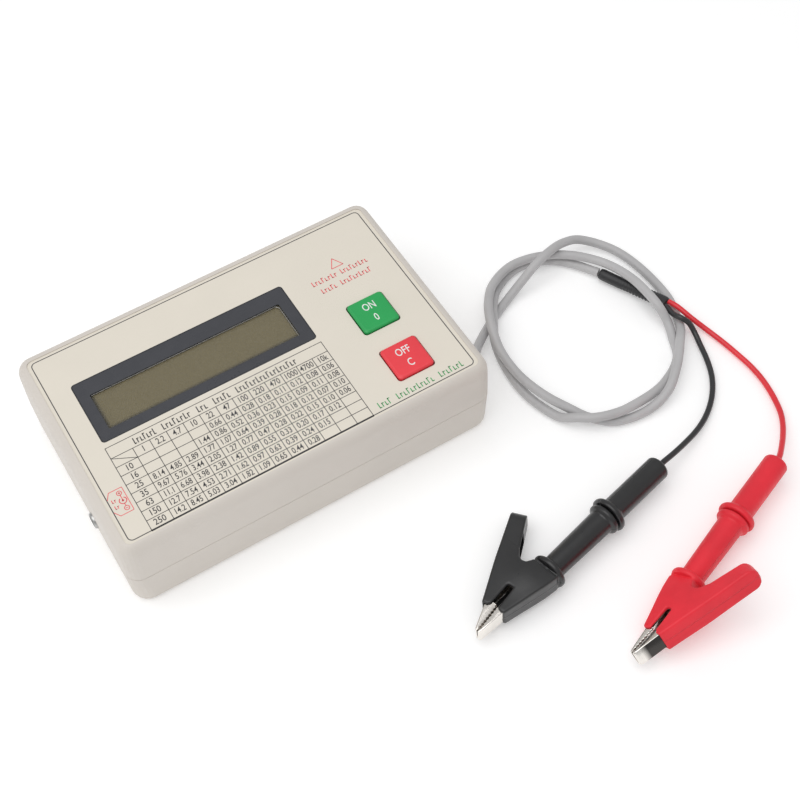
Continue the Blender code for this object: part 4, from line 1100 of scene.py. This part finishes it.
def word_bars(bm, left, right, y, height, widths, weight):
    """A generic stand-in for a printed line: a row of blocks made of short upright strokes."""
    total = sum(widths)
    space = (right - left - total) / max(1, len(widths) - 1)
    x = left
    for width in widths:
        count = max(2, round(width / LETTER_PITCH))
        pitch = width / count
        for k in range(count):
            tall = height * (SHORT_LETTER if k % 3 else 1.0)
            start = x + k * pitch
            low = y - height / 2
            bar(bm, start, low, start + weight, low + tall)
            foot = low if k % 2 == 0 else low + tall - weight
            top = low + weight if k % 2 == 0 else low + tall
            bar(bm, start, foot, start + pitch * LETTER_FOOT, top)
        x += width + space


def caution_print():
    """A plain red triangle outline over two generic printed lines."""
    bm = bmesh.new()
    x, y = TRIANGLE_AT
    corners = [(x - 2.1, y - 1.7), (x + 2.1, y - 1.7), (x, y + 2.1)]
    for first, second in zip(corners, corners[1:] + corners[:1]):
        stroke(bm, first, second, 0.26)
    word_bars(bm, 30.9, 51.3, 16.5, 2.0, [9.2, 10.0], 0.30)
    word_bars(bm, 32.2, 50.4, 12.5, 2.0, [5.6, 11.2], 0.30)
    on_meter(from_bmesh("caution_print", bm, INK_RED, PRINT_SHARP))


def maker_print():
    """The line under the keys, as a generic printed line in green."""
    bm = bmesh.new()
    word_bars(bm, 25.2, 55.4, -34.7, 2.2, [4.6, 13.2, 8.6], 0.32)
    on_meter(from_bmesh("maker_print", bm, INK_GREEN, PRINT_SHARP))


def inlet_print():
    """Red frame by the inlet with the usual centre-pin polarity symbol."""
    bm = bmesh.new()
    outline = [(-58.2, -21.2), (-56.9, -19.0), (-52.7, -19.0), (-52.7, -27.8), (-56.9, -27.8), (-58.2, -25.8)]
    for first, second in zip(outline, outline[1:]):
        stroke(bm, first, second, 0.22)
    x = INLET_SIGNS_X
    for y, sign in ((-20.6, "plus"), (-26.2, "minus")):
        ring_line(bm, (x, y), 0.75, 0.24)
        stroke(bm, (x - 0.4, y), (x + 0.4, y), 0.22)
        if sign == "plus":
            stroke(bm, (x, y - 0.4), (x, y + 0.4), 0.22)
    ring_line(bm, (x, -23.4), 1.1, 0.30, 20, 120.0, 300.0)
    ring_line(bm, (x, -23.4), 0.2, 0.4)
    stroke(bm, (x, -21.4), (x, -23.4), 0.24)
    stroke(bm, (x, -24.5), (x, -25.4), 0.24)
    word_bars(bm, -57.3, -55.7, -22.3, 1.3, [1.6], 0.24)
    word_bars(bm, -57.3, -55.7, -24.6, 1.3, [1.6], 0.24)
    on_meter(from_bmesh("inlet_print", bm, INK_RED, PRINT_SHARP))


def plate(name, outline, low, high, finish):
    """An outline in mm made into a flat block between two heights in metres."""
    return from_bmesh(name, extruded(outline, low, high), finish)


def label_film():
    """The printed film, filling its recess but for a hairline, cut out for the window and the keys."""
    finish = FINISH["label_print"]
    low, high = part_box("front_label")
    film = plate(
        "label_film", outline_of(low, high, -FILM_GROWS, -FILM_GROWS, FILM_R), low.z, high.z, finish)
    holes = [outline_of(WINDOW_LOW, WINDOW_HIGH, -WINDOW_GAP, -WINDOW_GAP, CUT_R)]
    for key in ("green_key", "red_key"):
        key_low, key_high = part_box(key)
        rim = (key_high.x - key_low.x) / MM / 2 - KEY_HALF - KEY_GAP
        holes.append(outline_of(key_low, key_high, rim, rim, CUT_R))
    cutters = [plate("cut", hole, low.z - MM, high.z + MM, finish) for hole in holes]
    for cutter in cutters:
        boolean(film, cutter)
    bake(film, PART_SHARP)
    drop(*cutters)
    on_meter(film)
    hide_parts("front_label")


def parting_strip():
    """Case plastic just inside the joint of the two halves, so the joint shows as a shallow line."""
    low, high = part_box("lower_case")
    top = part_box("upper_case")[0].z - INK
    outer = outline_of(low, high, PARTING_INSET, PARTING_INSET, PARTING_R)
    inset = PARTING_INSET + PARTING_WIDE
    inner = outline_of(low, high, inset, inset, PARTING_R - PARTING_WIDE)
    strip = frame_line("parting_strip", FINISH["case_grey"], outer, inner, top - PARTING_DEEP * MM, top)
    on_meter(strip)


parting_strip()
label_film()
label_border()
table()
caution_print()
maker_print()
inlet_print()

# ---------------- display

# The window's clear opening and the width of its rim, in mm.
VIEW = (-47.3, 1.35, 18.1, 15.75)
RIM_WIDE = 0.35
# Heights and thicknesses in metres.
PANE_THICK = 0.0004
CELL_DEPTH = 0.0011
CELL_THICK = 0.0004
SURROUND_THICK = 0.0004
GLINT_UNDER = 0.0003
GLINT_THICK = 0.0001
JACK_Z = 0.0124


def display():
    """The clear plate with its dark printed surround, the cell under it, and a pale painted highlight line
    under the pane along the view's top and right edges.
    """
    surround = moulded("window_surround", (0.045, 0.047, 0.056), 0.28, 3000.0, 0.000004, 0.06, 50.0, 0.15)
    rim_finish = moulded("window_rim", (0.020, 0.022, 0.028), 0.35)
    low, high = WINDOW_LOW, WINDOW_HIGH
    outer = outline_of(low, high, 0.0, 0.0, CUT_R)
    inner = rounded_outline(*VIEW, 0.4)
    band = frame_line("window_surround", surround, outer, inner, high.z - SURROUND_THICK, high.z)
    on_meter(band)
    rim_in = outline_of(low, high, RIM_WIDE, RIM_WIDE, 0.9)
    rim = frame_line("window_rim", rim_finish, outer, rim_in, high.z - 0.0001, high.z + INK)
    on_meter(rim)
    bm = bmesh.new()
    left, bottom, right, top = VIEW
    seen = (left + 0.1, bottom + 0.1, right - 0.1, top - 0.1)
    bar(bm, *seen, high.z - PANE_THICK, high.z - INK)
    pane = on_meter(from_bmesh("window_pane", bm, FINISH["window"]))
    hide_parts("display_window")
    cell_top = high.z - CELL_DEPTH
    cell_outline = rounded_outline(left - 1.0, bottom - 0.6, right + 1.4, top + 1.6, 0.4)
    cell = plate("lcd_cell", cell_outline, cell_top - CELL_THICK, cell_top, FINISH["lcd_olive"])
    on_meter(cell)
    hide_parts("lcd_glass")
    # Painted highlight: a pale line under the pane along the view's top edge, round the top-right corner and
    # down the right side.
    glint = printed("window_glint", (0.60, 0.59, 0.57), 0.3)
    deep = high.z - PANE_THICK - GLINT_UNDER
    corners = [(left + 0.4, top), (right - 1.3, top), (right - 0.3, top - 1.2), (right - 0.3, bottom + 0.4)]
    bm = bmesh.new()
    for first, second, width in zip(corners, corners[1:], (0.22, 0.2, 0.12)):
        stroke(bm, first, second, width, deep, deep + GLINT_THICK)
    on_meter(from_bmesh("window_glint", bm, glint, PRINT_SHARP))


def jack_ring():
    """The plated ring round the inlet's mouth."""
    low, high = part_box("dc_jack")
    profile = [(1.80, 0.9), (1.80, 0.0), (2.30, -0.03), (2.63, 0.35), (2.63, 0.9)]
    ring = turned("jack_ring", profile, FINISH["steel"])
    ring.location = (low.x, (low.y + high.y) / 2, JACK_Z)
    on_meter(ring)


display()
jack_ring()

# ---------------- keys

KEY_MARKS = {"green_key": ("ON", "0"), "red_key": ("OFF", "C")}
MARK_ROWS = (2.4, -2.5)
MARK_TEXT = (2.8, 0.72)


def key_legends():
    for name, lines in KEY_MARKS.items():
        low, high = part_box(name)
        x = (low.x + high.x) / 2 / MM
        y = (low.y + high.y) / 2 / MM
        bm = bmesh.new()
        meshes = []
        for text, offset in zip(lines, MARK_ROWS):
            meshes.append(text_mesh(text, x, y + offset, *MARK_TEXT, high.z - INK, high.z + INK))
        gather(bm, meshes)
        legend = from_bmesh(f"{name}_legend", bm, INK_WHITE, PRINT_SHARP)
        on_meter(legend, name)


key_legends()

# ---------------- floor and light

WHITE = (1.0, 1.0, 1.0, 1.0)
WORLD_POWER = 0.56
FLOOR_GLOW = 0.18
FLOOR_HALF = 3.0
FLOOR_Z = -0.0004
LIGHT_AIM = Vector((0.03, -0.04, 0.0))
# Name, place, size and power of each lamp.
LAMPS = (("top", (-0.25, -0.05, 1.0), 1.1, 5.6), ("left", (-0.9, 0.35, 0.6), 0.8, 0.5))


def floor():
    shader = Shader("floor")
    tone = shader.patches(0.0, 1.0, 3.0)
    shader.colour(shader.blend(tone, (0.93, 0.93, 0.93), (0.95, 0.95, 0.95)))
    shader.set(roughness=0.9, emission_color=WHITE, emission_strength=FLOOR_GLOW)
    bm = bmesh.new()
    bmesh.ops.create_grid(bm, x_segments=1, y_segments=1, size=FLOOR_HALF)
    made = from_bmesh("floor", bm, shader.material)
    made.location.z = FLOOR_Z


def area_light(name, at, size, power):
    data = bpy.data.lights.new(name, "AREA")
    data.shape = "SQUARE"
    data.size = size
    data.energy = power
    lamp = bpy.data.objects.new(name, data)
    bpy.context.scene.collection.objects.link(lamp)
    lamp.location = at
    lamp.rotation_euler = (LIGHT_AIM - Vector(at)).to_track_quat("-Z", "Y").to_euler()


def lights():
    world = bpy.data.worlds.new("studio")
    world.use_nodes = True
    background = world.node_tree.nodes["Background"]
    background.inputs["Color"].default_value = WHITE
    background.inputs["Strength"].default_value = WORLD_POWER
    bpy.context.scene.world = world
    bpy.context.scene.view_settings.view_transform = "Standard"
    for lamp in LAMPS:
        area_light(*lamp)


floor()
lights()
